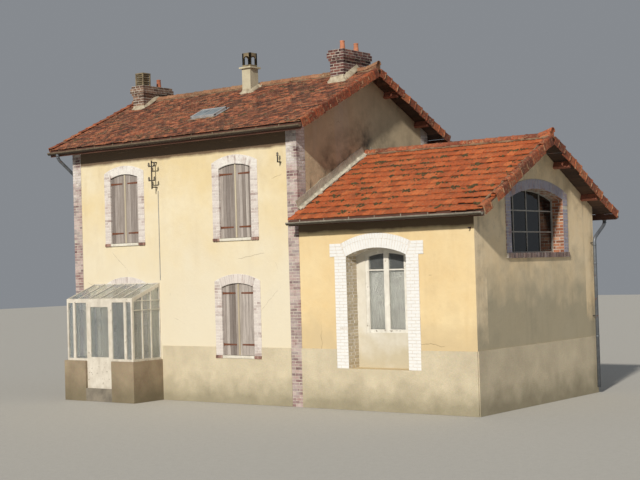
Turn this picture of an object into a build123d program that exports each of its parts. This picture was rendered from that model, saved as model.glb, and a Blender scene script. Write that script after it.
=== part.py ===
from build123d import *
import math
import os

# A small two-storey country railway station with a lower goods hall built on to its right
# gable. Millimetres, +Z up. The front faces -Y and +X runs along the ridges. The origin is
# on the ground, at the middle of the taller block's footprint.

# Plan of the two blocks, which are equally deep
main_length = 8330
main_depth = 6000
annex_length = 5080
wall_thickness = 500

# Floor levels above the ground, and the thickness of the built floors
ground_floor_level = 350
upper_floor_level = 3400
annex_floor_level = 1000
floor_thickness = 250

# Roofs: slope, height of the tiles at the ridge, overhangs and layers. Each slope goes down in
# steps, one to a row of the hall's tiles and one to three rows of the taller block's small flat
# tiles. The steps begin below the bed of the ridge tiles.
main_pitch = 25.5
main_ridge_height = 8750
annex_pitch = 27.8
annex_ridge_height = 6520
eaves_overhang = 440
gable_overhang = 500
tile_thickness = 60
tile_rows = 12
tile_step = 27
tile_bed = 150
board_thickness = 25
boards_setback = 65
fascia_thickness = 25
fascia_depth = 150

# Ridge tiles, verge tiles and purlins
ridge_tile_radius = 115
ridge_tile_wall = 22
ridge_tile_rise = 25
verge_thickness = 25
verge_skirt = 210
verge_flange = 130
purlin_width = 90
purlin_depth = 150
main_upper_purlin_distance = 1100
annex_upper_purlin_distance = 1150
purlin_wall_gap = 30
purlin_projection = 450

# Brick corners and the rough plinth
quoin_width = 340
quoin_proud = 10
plinth_height = 1470
plinth_thickness = 25

# Arched openings of the taller block
opening_width = 1100
opening_rise = 100
opening_inset = 2100
upper_sill_height = 4310
upper_springing = 6140
lower_springing = 3030
lower_sill_height = 1250
surround_band = 240
surround_proud = 12
sill_thickness = 80
sill_projection = 45
sill_depth = 200
shutter_recess = 40
shutter_thickness = 34
leaf_gap = 6
door_recess = 110
door_thickness = 50

# Stone step at each door of the back
step_height = 175
step_depth = 320

# Wide opening of the goods hall, narrowed to a window
hall_opening_width = 1760
hall_opening_centre = 2330
hall_springing = 3720
hall_rise = 190
hall_band = 350
hall_reveal = 420
impost_height = 320
impost_width = 140
infill_thickness = 80
hall_window_width = 1240
hall_window_sill = 1850
hall_window_head = 60
casement_setback = 10
casement_depth = 55
casement_stile = 105
casement_rail = 80
meeting_stile = 150
glazing_bar = 32
hall_transom_height = 3370
glass_thickness = 4
curtain_thickness = 40
curtain_side_gap = 20
curtain_foot_gap = 60

# Gable window of the goods hall
gable_window_width = 2650
gable_window_sill = 3680
gable_window_purlin_gap = 275
gable_window_rise = 240
gable_window_reveal = 300
gable_sill_thickness = 120
gable_window_columns = 4
gable_window_rows = 3
iron_bar = 30
iron_frame = 40

# Chimneys: plan size, centre along the house, height of the top
stack_width = 440
stack_length = 1180
left_stack_centre = 290
right_stack_centre = 7860
left_stack_top = 9150
right_stack_top = 9300
stack_foot = 7000
corbel_course = 75
corbel_step = 30
mid_stack_width = 310
mid_stack_depth = 340
mid_stack_centre = 4565
mid_stack_setback = 330
mid_stack_top = 9190
cap_overhang = 60
cap_thickness = 45

# Terminals and pots on the chimneys
terminal_width = 330
terminal_height = 400
terminal_wall = 45
terminal_lid = 40
terminal_tiers = 3
terminal_offset = 375
mid_terminal_width = 300
mid_terminal_arch_width = 190
mid_terminal_arch_foot = 60
mid_terminal_arch_springing = 250
mid_terminal_arch_rise = 60
pot_radius = 75
pot_top_radius = 58
pot_height = 270
pot_wall = 14
pot_bore_depth = 120
pot_sides = 16
pot_spacing = 620

# Skylight in the front slope
skylight_width = 900
skylight_height = 560
skylight_centre = 4500
skylight_distance = 2250
skylight_upstand = 70
skylight_frame = 50
skylight_glass_thickness = 20
skylight_glass_depth = 10

# Zinc work
gutter_radius = 65
gutter_wall = 4
gutter_drop = 30
pipe_radius = 45
pipe_wall = 4
pipe_stand_off = 40
pipe_foot_height = 150
pipe_neck = 120
pipe_mouth_overhang = 120
pipe_corner_distance = 150
main_pipe_drop = 600
annex_pipe_drop = 500
clip_first_height = 2000
clip_spacing = 1900
clip_bend_gap = 120
clip_height = 25
clip_width = 40
flashing_height = 300
flashing_thickness = 15

# Glazed porch in front of the house door
porch_width = 2740
porch_projection = 1130
porch_wall_height = 1100
porch_wall_thickness = 200
porch_eaves_height = 2750
porch_head_height = 3150
porch_post = 60
porch_thick_post_width = 90
porch_thick_post_offset = 1010
porch_door_width = 900
porch_rail = 60
porch_bar = 30
porch_side_bays = 3
porch_roof_bays = 6
porch_roof_bar_depth = 40
porch_glass_lift = 20
porch_door_gap = 5
porch_door_stile = 100
porch_door_rail = 120
porch_door_panel_height = 1200

# Iron bracket with insulators on the front, and the small hook by the right corner
bracket_position = 3410
bracket_height = 6520
bracket_reach = 220
bracket_bar = 28
bracket_rise = 780
bracket_arm_reach = 120
bracket_upper_arm_drop = 170
bracket_lower_arm_drop = 560
bracket_stay_drop = 60
bracket_foot_rise = 40
insulator_radius = 26
insulator_height = 70
insulator_sides = 10
insulator_inset = 15
hook_position = 7820
hook_height = 6150
hook_reach = 150
hook_rise = 240

# Cable cover that runs down the front from the bracket
conduit_position = 3440
conduit_width = 22
conduit_depth = 14
conduit_top = 5700
conduit_foot = 3260

# Places worked out from the values above
left = -main_length / 2
right = main_length / 2
front = -main_depth / 2
back = main_depth / 2
annex_end = right + annex_length
inner_front = front + wall_thickness
inner_back = back - wall_thickness
opening_centres = [left + opening_inset, right - opening_inset]
hall_centre = right + hall_opening_centre
porch_centre = opening_centres[0]
layers_depth = tile_thickness + board_thickness

os.makedirs("parts", exist_ok=True)


def box(x0, x1, y0, y1, z0, z1):
    """A box between two corners."""
    middle = ((x0 + x1) / 2, (y0 + y1) / 2, (z0 + z1) / 2)
    return Pos(*middle) * Box(x1 - x0, y1 - y0, z1 - z0)


def prism_y(face, y0, y1):
    """Carry an outline drawn in X and Z from y0 to y1."""
    return extrude(Plane.XZ.offset(-y1) * face, amount=y1 - y0)


def prism_x(face, x0, x1):
    """Carry an outline drawn in Y and Z from x0 to x1."""
    return extrude(Plane.YZ.offset(x0) * face, amount=x1 - x0)


def polygon(*points):
    return make_face(Polyline(*points, close=True))


def total(solids):
    """Fuse a list of solids that touch or cross."""
    whole = solids[0]
    for solid in solids[1:]:
        whole += solid
    return whole


def arc_of(width, springing, rise):
    """Centre height and radius of the arc over a segmental-headed opening."""
    radius = (width / 2) ** 2 / (2 * rise) + rise / 2
    return springing + rise - radius, radius


def headed_face(centre, half, bottom, arc_centre, radius):
    """Two upright sides under one arc."""
    shoulder = arc_centre + math.sqrt(radius ** 2 - half ** 2)
    sides = Polyline((centre - half, shoulder), (centre - half, bottom),
                     (centre + half, bottom), (centre + half, shoulder))
    head = ThreePointArc((centre + half, shoulder), (centre, arc_centre + radius),
                         (centre - half, shoulder))
    return make_face(sides + head)


def arched_face(centre, width, bottom, springing, rise, grow=0):
    """A segmental-headed outline; grow widens it by a band that follows the arch."""
    arc_centre, radius = arc_of(width, springing, rise)
    return headed_face(centre, width / 2 + grow, bottom, arc_centre, radius + grow)


def save(solids, node):
    """Write one sub-part, whether it is one solid or several."""
    solids = solids if isinstance(solids, list) else [solids]
    shapes = [solid for item in solids for solid in item.solids()]
    whole = shapes[0] if len(shapes) == 1 else Compound(children=shapes)
    export_step(whole, f"parts/{node}.step")


class Roof:
    """A ridged roof over one block, whose ridge stands over Y = 0."""

    def __init__(self, ridge_height, pitch, x0, x1):
        self.ridge_height = ridge_height
        self.angle = math.radians(pitch)
        self.x0 = x0
        self.x1 = x1
        self.edge = main_depth / 2 + eaves_overhang

    def height(self, y, below=0):
        """Height of a surface lying a square distance below the tile tops."""
        return self.ridge_height - abs(y) * math.tan(self.angle) - below / math.cos(self.angle)

    def place(self, side, run, above):
        """A point run down one slope from the ridge and a square distance above its tiles."""
        y = side * (run * math.cos(self.angle) + above * math.sin(self.angle))
        z = self.ridge_height - run * math.sin(self.angle) + above * math.cos(self.angle)
        return y, z

    def layer(self, side, top, bottom, edge, x0=None, x1=None):
        """One slope of one layer, from the ridge to its lower edge."""
        x0 = self.x0 if x0 is None else x0
        x1 = self.x1 if x1 is None else x1
        outer = side * edge
        outline = polygon((0, self.height(0, top)), (outer, self.height(outer, top)),
                          (outer, self.height(outer, bottom)), (0, self.height(0, bottom)))
        return prism_x(outline, x0, x1)

    def tiled_slope(self, side):
        """The tiles of one slope: in steps, and even below the edgings at both ends."""
        gauge = self.edge / math.cos(self.angle) / tile_rows
        steps = [(tile_bed, 0), (tile_bed, tile_step * (tile_bed / gauge - 1))]
        for row in range(1, tile_rows):
            steps += [(row * gauge, 0), (row * gauge, -tile_step)]
        outer = side * self.edge
        outline = [(0, self.ridge_height)] + [self.place(side, *corner) for corner in steps]
        outline += [(outer, self.height(outer)), (outer, self.height(outer, tile_thickness)),
                    (0, self.height(0, tile_thickness))]
        first, last = self.x0 + verge_flange, self.x1 - verge_flange
        return total([prism_x(polygon(*outline), first, last),
                      self.layer(side, 0, tile_thickness, self.edge, self.x0, first),
                      self.layer(side, 0, tile_thickness, self.edge, last, self.x1)])

    def slab(self, side, run, half_run, low, high, x0, x1):
        """A block that lies square to one slope, about a line run down it."""
        corners = [(run - half_run, high), (run + half_run, high),
                   (run + half_run, low), (run - half_run, low)]
        return prism_x(polygon(*[self.place(side, *corner) for corner in corners]), x0, x1)

    def purlins(self, upper_distance, x0, x1):
        """The ridge beam, its head cut to both slopes, and two purlins on each slope."""
        half = purlin_width / 2
        foot = self.height(half, layers_depth) - purlin_depth
        ridge = polygon((0, self.height(0, layers_depth)), (half, self.height(half, layers_depth)),
                        (half, foot), (-half, foot), (-half, self.height(half, layers_depth)))
        clear = inner_back - purlin_wall_gap + layers_depth * math.sin(self.angle)
        lower_distance = clear / math.cos(self.angle) - half
        beams = [prism_x(ridge, x0, x1)]
        for side in (-1, 1):
            for distance in (upper_distance, lower_distance):
                beams.append(self.slab(side, distance, half, -layers_depth - purlin_depth,
                                       -layers_depth, x0, x1))
        return beams

    def under_boards(self, y0, y1, bottom=0):
        """Outline of a wall from the ground up to the underside of the boards."""
        points = [(y0, bottom), (y1, bottom), (y1, self.height(y1, layers_depth))]
        if y0 < 0 < y1:
            points.append((0, self.height(0, layers_depth)))
        points.append((y0, self.height(y0, layers_depth)))
        return polygon(*points)

    def ridge_round(self, radius, x0, x1):
        """Half a cylinder that stands over the ridge, its foot in the tile slopes."""
        centre = self.ridge_height + ridge_tile_rise - ridge_tile_radius * math.tan(self.angle)
        upper_half = Pos(0, radius) * Rectangle(4 * radius, 2 * radius)
        return prism_x(Pos(0, centre) * (Circle(radius) & upper_half), x0, x1)


main_roof = Roof(main_ridge_height, main_pitch, left - gable_overhang, right + gable_overhang)
annex_roof = Roof(annex_ridge_height, annex_pitch, right, annex_end + gable_overhang)
roofs = [main_roof, annex_roof]

# Purlins and ridge beams, which pass through the gable walls and show below the overhangs
main_purlins = main_roof.purlins(main_upper_purlin_distance, left - purlin_projection,
                                 right + purlin_projection)
annex_purlins = annex_roof.purlins(annex_upper_purlin_distance, right,
                                   annex_end + purlin_projection)


# Chimney stacks, which stand in the gable walls or on the upper floor
def corbelled_stack(centre, top):
    """A brick stack whose head steps out course by course and back at the top."""
    x = left + centre
    half_x = stack_width / 2
    half_y = stack_length / 2
    pieces = [box(x - half_x, x + half_x, -half_y, half_y, stack_foot, top)]
    steps = [1, 2, 2, 1]
    for course, step in enumerate(steps):
        z = top - (len(steps) - course) * corbel_course
        grow = step * corbel_step
        pieces.append(box(x - half_x - grow, x + half_x + grow, -half_y - grow, half_y + grow,
                          z, z + corbel_course))
    return total(pieces)


left_stack = corbelled_stack(left_stack_centre, left_stack_top)
right_stack = corbelled_stack(right_stack_centre, right_stack_top)
left_stack_x = left + left_stack_centre
right_stack_x = left + right_stack_centre
mid_stack_x = left + mid_stack_centre
mid_stack_y = -mid_stack_setback


def mid_stack_box(grow, z0, z1):
    half_x = mid_stack_width / 2 + grow
    half_y = mid_stack_depth / 2 + grow
    return box(mid_stack_x - half_x, mid_stack_x + half_x,
               mid_stack_y - half_y, mid_stack_y + half_y, z0, z1)


mid_cap_top = mid_stack_top + cap_thickness
mid_stack = mid_stack_box(0, upper_floor_level, mid_stack_top)
mid_stack += mid_stack_box(cap_overhang, mid_stack_top, mid_cap_top)
stacks = [left_stack, right_stack, mid_stack]


# Walls of the taller block, with arched openings in brick bands as deep as the wall
def openings_of(side):
    """(centre, bottom, springing, kind) of each opening in the front or back wall."""
    rows = [(x, upper_sill_height, upper_springing, "window") for x in opening_centres]
    if side < 0:
        rows.append((opening_centres[0], ground_floor_level, lower_springing, "door"))
        rows.append((opening_centres[1], lower_sill_height, lower_springing, "window"))
    else:
        rows += [(x, ground_floor_level, lower_springing, "door") for x in opening_centres]
    return rows


def across(side, outward, inward):
    """The two Y limits of a piece that stands out of a long wall's face and runs into it."""
    face = side * main_depth / 2
    return sorted([face + side * outward, face - side * inward])


def sill(x, half_width, top, side):
    y0, y1 = across(side, sill_projection, sill_depth)
    return box(x - half_width, x + half_width, y0, y1, top - sill_thickness, top)


band_half = opening_width / 2 + surround_band


def long_wall(side):
    """The front or back wall of the taller block, with its openings, bands and sills."""
    y0, y1 = across(side, 0, wall_thickness)
    wall = prism_x(main_roof.under_boards(y0, y1), left, right)
    bands = []
    sills = []
    y0, y1 = across(side, surround_proud, wall_thickness)
    for x, bottom, springing, kind in openings_of(side):
        outer = prism_y(arched_face(x, opening_width, bottom, springing, opening_rise,
                                    surround_band), y0, y1)
        wall -= outer
        bands.append(outer - prism_y(arched_face(x, opening_width, bottom, springing, opening_rise),
                                     y0, y1))
        if kind == "window":
            sills.append(sill(x, band_half, bottom, side))
            wall -= sills[-1]
    return wall, bands, sills


def quoin(x_side, y_side):
    """One brick corner pier of the taller block."""
    x0, x1 = sorted([x_side * main_length / 2, x_side * (main_length / 2 - quoin_width)])
    y0, y1 = across(y_side, quoin_proud, quoin_width)
    return prism_x(main_roof.under_boards(y0, y1), x0, x1)


front_wall, front_bands, front_sills = long_wall(-1)
back_wall, back_bands, back_sills = long_wall(1)
front_quoins = [quoin(-1, -1), quoin(1, -1)]
back_quoins = [quoin(-1, 1), quoin(1, 1)]
for pier in front_quoins:
    front_wall -= pier
for pier in back_quoins:
    back_wall -= pier

# Gable walls of the taller block, between the long walls
gable_outline = main_roof.under_boards(inner_front, inner_back)
left_gable = prism_x(gable_outline, left, left + wall_thickness)
right_gable = prism_x(gable_outline, right - wall_thickness, right)
for beam in main_purlins:
    left_gable -= beam
    right_gable -= beam
left_gable -= left_stack
right_gable -= right_stack
main_purlins[0] -= left_stack
main_purlins[0] -= right_stack

save(front_wall, "main_front_wall")
save(back_wall, "main_back_wall")
save(left_gable, "main_left_gable")
save(right_gable, "main_right_gable")
save(front_quoins, "front_quoins")
save(back_quoins, "back_quoins")
save(front_bands, "front_surrounds")
save(back_bands, "back_surrounds")
save(front_sills + back_sills, "window_sills")
save(main_purlins, "main_purlins")
save(annex_purlins, "annex_purlins")

# Floors
house_room = (left + wall_thickness, right - wall_thickness, inner_front, inner_back)
hall_room = (right, annex_end - wall_thickness, inner_front, inner_back)
save(box(*house_room, 0, ground_floor_level), "ground_floor")
save(box(*house_room, upper_floor_level - floor_thickness, upper_floor_level), "upper_floor")
save(box(*hall_room, annex_floor_level - floor_thickness, annex_floor_level), "annex_floor")


# Shutters and doors of the taller block, closed in their openings
def leaf_pair(x, bottom, springing, side, recess, thickness):
    """Two leaves that fill an arched opening, with a joint between them."""
    y0, y1 = across(side, -recess, recess + thickness)
    whole = prism_y(arched_face(x, opening_width, bottom, springing, opening_rise), y0, y1)
    joint = box(x - leaf_gap / 2, x + leaf_gap / 2, y0, y1, bottom, springing + 2 * opening_rise)
    return whole - joint


shutters = {-1: [], 1: []}
doors = {-1: [], 1: []}
for side in (-1, 1):
    for x, bottom, springing, kind in openings_of(side):
        if kind == "door":
            doors[side].append(leaf_pair(x, bottom, springing, side, door_recess, door_thickness))
        else:
            shutters[side].append(leaf_pair(x, bottom, springing, side, shutter_recess,
                                            shutter_thickness))
save(shutters[-1], "front_shutters")
save(shutters[1], "back_shutters")
save(doors[-1], "house_door")
save(doors[1], "back_doors")

steps = [box(x - band_half, x + band_half, back, back + step_depth, 0, step_height)
         for x in opening_centres]
save(steps, "door_steps")


# Goods hall walls, which butt against the taller block
def hall_band_solid(side):
    """The brick arch and jambs of the wide opening, with a block at each springing."""
    y0, y1 = across(side, surround_proud, wall_thickness)
    band = prism_y(arched_face(hall_centre, hall_opening_width, annex_floor_level,
                               hall_springing, hall_rise, hall_band), y0, y1)
    half = hall_opening_width / 2 + hall_band + impost_width
    return band + box(hall_centre - half, hall_centre + half, y0, y1,
                      hall_springing, hall_springing + impost_height)


def hall_opening_solid(side):
    y0, y1 = across(side, surround_proud, wall_thickness)
    return prism_y(arched_face(hall_centre, hall_opening_width, annex_floor_level,
                               hall_springing, hall_rise), y0, y1)


def hall_long_wall(side):
    y0, y1 = across(side, 0, wall_thickness)
    wall = prism_x(annex_roof.under_boards(y0, y1), right, annex_end)
    band = hall_band_solid(side)
    opening = hall_opening_solid(side)
    return wall - band - opening, band - opening


def hall_window_face(side_inset=0, end_inset=0):
    """Outline of the window, whose head follows the opening's own arch."""
    arc_centre, radius = arc_of(hall_opening_width, hall_springing, hall_rise)
    return headed_face(hall_centre, hall_window_width / 2 - side_inset,
                       hall_window_sill + end_inset, arc_centre,
                       radius - hall_window_head - end_inset)


def hall_infill(side):
    """The rendered wall that narrows the opening, with the window's place left open."""
    y0, y1 = across(side, -hall_reveal, hall_reveal + infill_thickness)
    panel = arched_face(hall_centre, hall_opening_width, annex_floor_level,
                        hall_springing, hall_rise)
    return prism_y(panel, y0, y1) - prism_y(hall_window_face(), y0, y1)


def hall_window(side):
    """A two-leaf casement, each leaf with one bar, and its four panes."""
    setback = hall_reveal + casement_setback
    y0, y1 = across(side, -setback, setback + casement_depth)
    light = prism_y(hall_window_face(casement_stile, casement_rail), y0, y1)
    top = hall_springing + hall_rise
    meeting = box(hall_centre - meeting_stile / 2, hall_centre + meeting_stile / 2, y0, y1,
                  hall_window_sill, top)
    bar = box(hall_centre - hall_window_width / 2, hall_centre + hall_window_width / 2, y0, y1,
              hall_transom_height - glazing_bar / 2, hall_transom_height + glazing_bar / 2)
    cross = meeting + bar
    frame = prism_y(hall_window_face(), y0, y1) - light + (cross & light)
    middle = (y0 + y1) / 2
    panes = prism_y(hall_window_face(casement_stile, casement_rail),
                    middle - glass_thickness / 2, middle + glass_thickness / 2) - cross
    return frame, panes


annex_front_wall, hall_front_band = hall_long_wall(-1)
annex_back_wall, hall_back_band = hall_long_wall(1)
front_casement, front_panes = hall_window(-1)
back_casement, back_panes = hall_window(1)

# Short curtains that hang from the bar, one behind each front leaf
curtain_y0, curtain_y1 = across(-1, -hall_reveal - casement_setback - casement_depth,
                                hall_reveal + casement_setback + casement_depth + curtain_thickness)
curtains = []
for leaf in (-1, 1):
    x0, x1 = sorted([hall_centre + leaf * curtain_side_gap,
                     hall_centre + leaf * (hall_window_width / 2 - curtain_side_gap)])
    curtains.append(box(x0, x1, curtain_y0, curtain_y1, hall_window_sill + curtain_foot_gap,
                        hall_transom_height + glazing_bar / 2))

# Gable wall of the hall, with its arched window in a brick band
annex_gable = prism_x(annex_roof.under_boards(inner_front, inner_back),
                      annex_end - wall_thickness, annex_end)
for beam in annex_purlins:
    annex_gable -= beam
purlin_underside = annex_roof.place(1, annex_upper_purlin_distance + purlin_width / 2,
                                    -layers_depth - purlin_depth)[1]
gable_window_top = purlin_underside - gable_window_purlin_gap - surround_band
gable_window_springing = gable_window_top - gable_window_rise
gable_arch = (0, gable_window_width, gable_window_sill, gable_window_springing, gable_window_rise)
band_x = (annex_end - wall_thickness, annex_end + surround_proud)
gable_band = prism_x(arched_face(*gable_arch, surround_band), *band_x)
gable_sill_half = gable_window_width / 2 + surround_band
gable_sill = box(annex_end - wall_thickness, annex_end + sill_projection, -gable_sill_half,
                 gable_sill_half, gable_window_sill - gable_sill_thickness, gable_window_sill)
annex_gable -= gable_band
annex_gable -= gable_sill
gable_band -= prism_x(arched_face(*gable_arch), *band_x)


def gable_light_face(inset):
    return arched_face(0, gable_window_width, gable_window_sill + inset,
                       gable_window_springing, gable_window_rise, -inset)


iron_x1 = annex_end - gable_window_reveal
iron_x0 = iron_x1 - iron_frame
bars = []
for column in range(1, gable_window_columns):
    y = gable_window_width * (column / gable_window_columns - 1 / 2)
    bars.append(box(iron_x0, iron_x1, y - iron_bar / 2, y + iron_bar / 2,
                    gable_window_sill, gable_window_top))
for row in range(1, gable_window_rows):
    z = gable_window_sill + row * (gable_window_top - gable_window_sill) / gable_window_rows
    bars.append(box(iron_x0, iron_x1, -gable_window_width / 2, gable_window_width / 2,
                    z - iron_bar / 2, z + iron_bar / 2))
lattice = total(bars)
gable_light = prism_x(gable_light_face(iron_frame), iron_x0, iron_x1)
gable_frame = prism_x(gable_light_face(0), iron_x0, iron_x1) - gable_light
gable_frame += lattice & gable_light
gable_glass_x = (iron_x0 + iron_x1) / 2
gable_panes = prism_x(gable_light_face(iron_frame), gable_glass_x - glass_thickness / 2,
                      gable_glass_x + glass_thickness / 2) - lattice

save(annex_front_wall, "annex_front_wall")
save(annex_back_wall, "annex_back_wall")
save(annex_gable, "annex_gable")
save([hall_front_band, hall_back_band], "annex_surrounds")
save([gable_band, gable_sill], "gable_window_surround")
save([hall_infill(-1), hall_infill(1)], "annex_infills")
save([front_casement, back_casement], "annex_windows")
save(curtains, "hall_curtains")
save(gable_frame, "gable_window_frame")
save([front_panes, back_panes, gable_panes], "window_glass")

# Rough plinth skins on the outer faces, cut back round doors, sills, steps and the porch
porch_x0 = porch_centre - porch_width / 2
porch_x1 = porch_centre + porch_width / 2
plinth = []
for side in (-1, 1):
    y0, y1 = across(side, plinth_thickness, 0)
    skin = box(left + quoin_width, right - quoin_width, y0, y1, 0, plinth_height)
    for x, bottom, springing, kind in openings_of(side):
        if springing == lower_springing:
            foot = 0 if kind == "door" else bottom - sill_thickness
            skin -= box(x - band_half, x + band_half, y0, y1, foot, plinth_height)
    if side < 0:
        skin -= box(porch_x0, porch_x1, y0, y1, 0, plinth_height)
    plinth.append(skin)
    skin = box(right, annex_end, y0, y1, 0, plinth_height)
    half = hall_opening_width / 2 + hall_band
    plinth.append(skin - box(hall_centre - half, hall_centre + half, y0, y1,
                             annex_floor_level, plinth_height))
plinth.append(box(annex_end, annex_end + plinth_thickness, front, back, 0, plinth_height))
plinth.append(box(left - plinth_thickness, left, inner_front, inner_back, 0, plinth_height))
save(plinth, "plinth")


# Roof coverings, with the stacks and the skylight let in
def skylight_solid(grow, low, high):
    """A block lying in the front slope at the skylight's place."""
    half = skylight_width / 2 + grow
    x = left + skylight_centre
    return main_roof.slab(-1, skylight_distance, skylight_height / 2 + grow, low, high,
                          x - half, x + half)


skylight_block = skylight_solid(0, -layers_depth, skylight_upstand)
skylight_hole = skylight_solid(-skylight_frame, -layers_depth, skylight_upstand)
skylight_glass_top = skylight_upstand - skylight_glass_depth
skylight_pane = skylight_solid(-skylight_frame, skylight_glass_top - skylight_glass_thickness,
                               skylight_glass_top)
save(skylight_block - skylight_hole + skylight_pane, "skylight")

for side, name in [(-1, "front"), (1, "back")]:
    tiles = main_roof.tiled_slope(side)
    boards = main_roof.layer(side, tile_thickness, layers_depth, main_roof.edge - boards_setback)
    for block in stacks + [skylight_block]:
        tiles -= block
        boards -= block
    save(tiles, f"main_tiles_{name}")
    save(boards, f"main_boards_{name}")
    save(annex_roof.tiled_slope(side), f"annex_tiles_{name}")
    save(annex_roof.layer(side, tile_thickness, layers_depth, annex_roof.edge - boards_setback),
         f"annex_boards_{name}")


# Half-round ridge tiles bedded on both slopes
def ridge_cover(roof):
    cover = roof.ridge_round(ridge_tile_radius, roof.x0, roof.x1)
    cover -= roof.ridge_round(ridge_tile_radius - ridge_tile_wall, roof.x0, roof.x1)
    for side in (-1, 1):
        cover -= roof.layer(side, 0, tile_thickness, roof.edge)
    return cover


main_ridge_tiles = ridge_cover(main_roof)
for stack in stacks:
    main_ridge_tiles -= stack
save(main_ridge_tiles, "main_ridge_tiles")
save(ridge_cover(annex_roof), "annex_ridge_tiles")


# Verge tiles: a flange on the roof and a skirt down its edge
def verges(roof, x_end, outward):
    """The L-shaped edgings of both slopes at one gable overhang."""
    outer = x_end + outward * verge_thickness
    flange_x = sorted([x_end - outward * verge_flange, outer])
    skirt_x = sorted([x_end, outer])
    pieces = []
    for side in (-1, 1):
        flange = roof.layer(side, -verge_thickness, 0, roof.edge, *flange_x)
        skirt = roof.layer(side, 0, verge_skirt, roof.edge, *skirt_x)
        pieces.append(flange + skirt - roof.ridge_round(ridge_tile_radius, roof.x0, roof.x1))
    return pieces


save(verges(main_roof, main_roof.x0, -1) + verges(main_roof, main_roof.x1, 1), "main_verge_tiles")
save(verges(annex_roof, annex_roof.x1, 1), "annex_verge_tiles")


# Fascia boards and half-round gutters
def fascia(roof, side):
    face_y = side * (roof.edge - boards_setback)
    outer_y = face_y + side * fascia_thickness
    y0, y1 = sorted([face_y, outer_y])
    top = roof.height(outer_y, tile_thickness)
    return box(roof.x0, roof.x1, y0, y1, top - fascia_depth, top)


def gutter_centre(roof, side):
    """Y and Z of the gutter's axis, its back against the fascia."""
    y = side * (roof.edge - boards_setback + fascia_thickness + gutter_radius)
    return y, roof.height(y, tile_thickness) - gutter_drop


def gutter(roof, side):
    """A half pipe with closed ends."""
    y, z = gutter_centre(roof, side)
    lower_half = Pos(0, -gutter_radius) * Rectangle(4 * gutter_radius, 2 * gutter_radius)
    bowl = Pos(y, z) * (Circle(gutter_radius) & lower_half)
    hollow = Pos(y, z) * (Circle(gutter_radius - gutter_wall) & lower_half)
    return prism_x(bowl, roof.x0, roof.x1) - prism_x(hollow, roof.x0 + gutter_wall,
                                                     roof.x1 - gutter_wall)


save([fascia(roof, side) for side in (-1, 1) for roof in roofs], "fascias")
save([gutter(roof, side) for side in (-1, 1) for roof in roofs], "gutters")


# Downpipes: a swan neck from the gutter to the wall, mitred at its bends, then straight down
def pipe_line(side):
    """Y of the straight part of a downpipe."""
    return side * (main_depth / 2 - pipe_corner_distance)


def downpipe(gutter_x, wall_x, roof, side, drop):
    gutter_y, gutter_z = gutter_centre(roof, side)
    top_z = gutter_z - gutter_radius
    route = [(gutter_x, gutter_y, top_z), (gutter_x, gutter_y, top_z - pipe_neck),
             (wall_x, pipe_line(side), top_z - drop), (wall_x, pipe_line(side), pipe_foot_height)]
    start = Plane(origin=route[0], z_dir=(0, 0, -1))
    path = Polyline(*route)
    outer = sweep(start * Circle(pipe_radius), path=path, transition=Transition.RIGHT)
    bore = sweep(start * Circle(pipe_radius - pipe_wall), path=path, transition=Transition.RIGHT)
    return outer - bore


def pipe_clip(wall_x, pipe_x, y, z):
    """A block that reaches from the wall to the pipe, hollowed to carry its back."""
    block = Pos((wall_x + pipe_x) / 2, y) * Rectangle(abs(pipe_x - wall_x), clip_width)
    outline = block - Pos(pipe_x, y) * Circle(pipe_radius)
    return extrude(Plane.XY.offset(z) * outline, amount=clip_height)


pipe_offset = pipe_radius + pipe_stand_off
main_pipe_x = left - pipe_offset
annex_pipe_x = annex_end + plinth_thickness + pipe_offset
left_mouth_x = left - pipe_mouth_overhang
runs = [(left_mouth_x, main_pipe_x, left, main_roof, -1, main_pipe_drop),
        (left_mouth_x, main_pipe_x, left, main_roof, 1, main_pipe_drop),
        (annex_end + pipe_mouth_overhang, annex_pipe_x, annex_end, annex_roof, 1,
         annex_pipe_drop)]
pipes = []
clips = []
for gutter_x, pipe_x, wall_x, roof, side, drop in runs:
    pipes.append(downpipe(gutter_x, pipe_x, roof, side, drop))
    straight_top = gutter_centre(roof, side)[1] - gutter_radius - drop - clip_bend_gap
    z = clip_first_height
    while z < straight_top:
        clips.append(pipe_clip(wall_x, pipe_x, pipe_line(side), z))
        z += clip_spacing
save(pipes, "downpipes")
save(clips, "pipe_clips")

# Chimneys
save(left_stack, "left_chimney")
save(right_stack, "right_chimney")
save(mid_stack, "mid_chimney")


def square_block(x, y, half, z0, z1):
    return box(x - half, x + half, y - half, y + half, z0, z1)


def louvred_terminal(x, y, z):
    """A square concrete pot with tiers of slots on all four sides and a flat lid."""
    half = terminal_width / 2
    inner = half - terminal_wall
    roof_z = z + terminal_height - terminal_lid
    pot = square_block(x, y, half, z, z + terminal_height)
    pot -= square_block(x, y, inner, z, roof_z)
    tier = (roof_z - z) / terminal_tiers
    for index in range(terminal_tiers):
        z1 = roof_z - index * tier - tier / 6
        z0 = z1 - tier / 2
        pot -= box(x - inner, x + inner, y - half, y + half, z0, z1)
        pot -= box(x - half, x + half, y - inner, y + inner, z0, z1)
    return pot


def arched_terminal(x, y, z):
    """A square concrete pot with one arched opening on each side."""
    half = mid_terminal_width / 2
    pot = square_block(x, y, half, z, z + terminal_height)
    for centre, prism, start in [(x, prism_y, y - half), (y, prism_x, x - half)]:
        arch = arched_face(centre, mid_terminal_arch_width, z + mid_terminal_arch_foot,
                           z + mid_terminal_arch_springing, mid_terminal_arch_rise)
        pot -= prism(arch, start, start + mid_terminal_width)
    return pot


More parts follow.
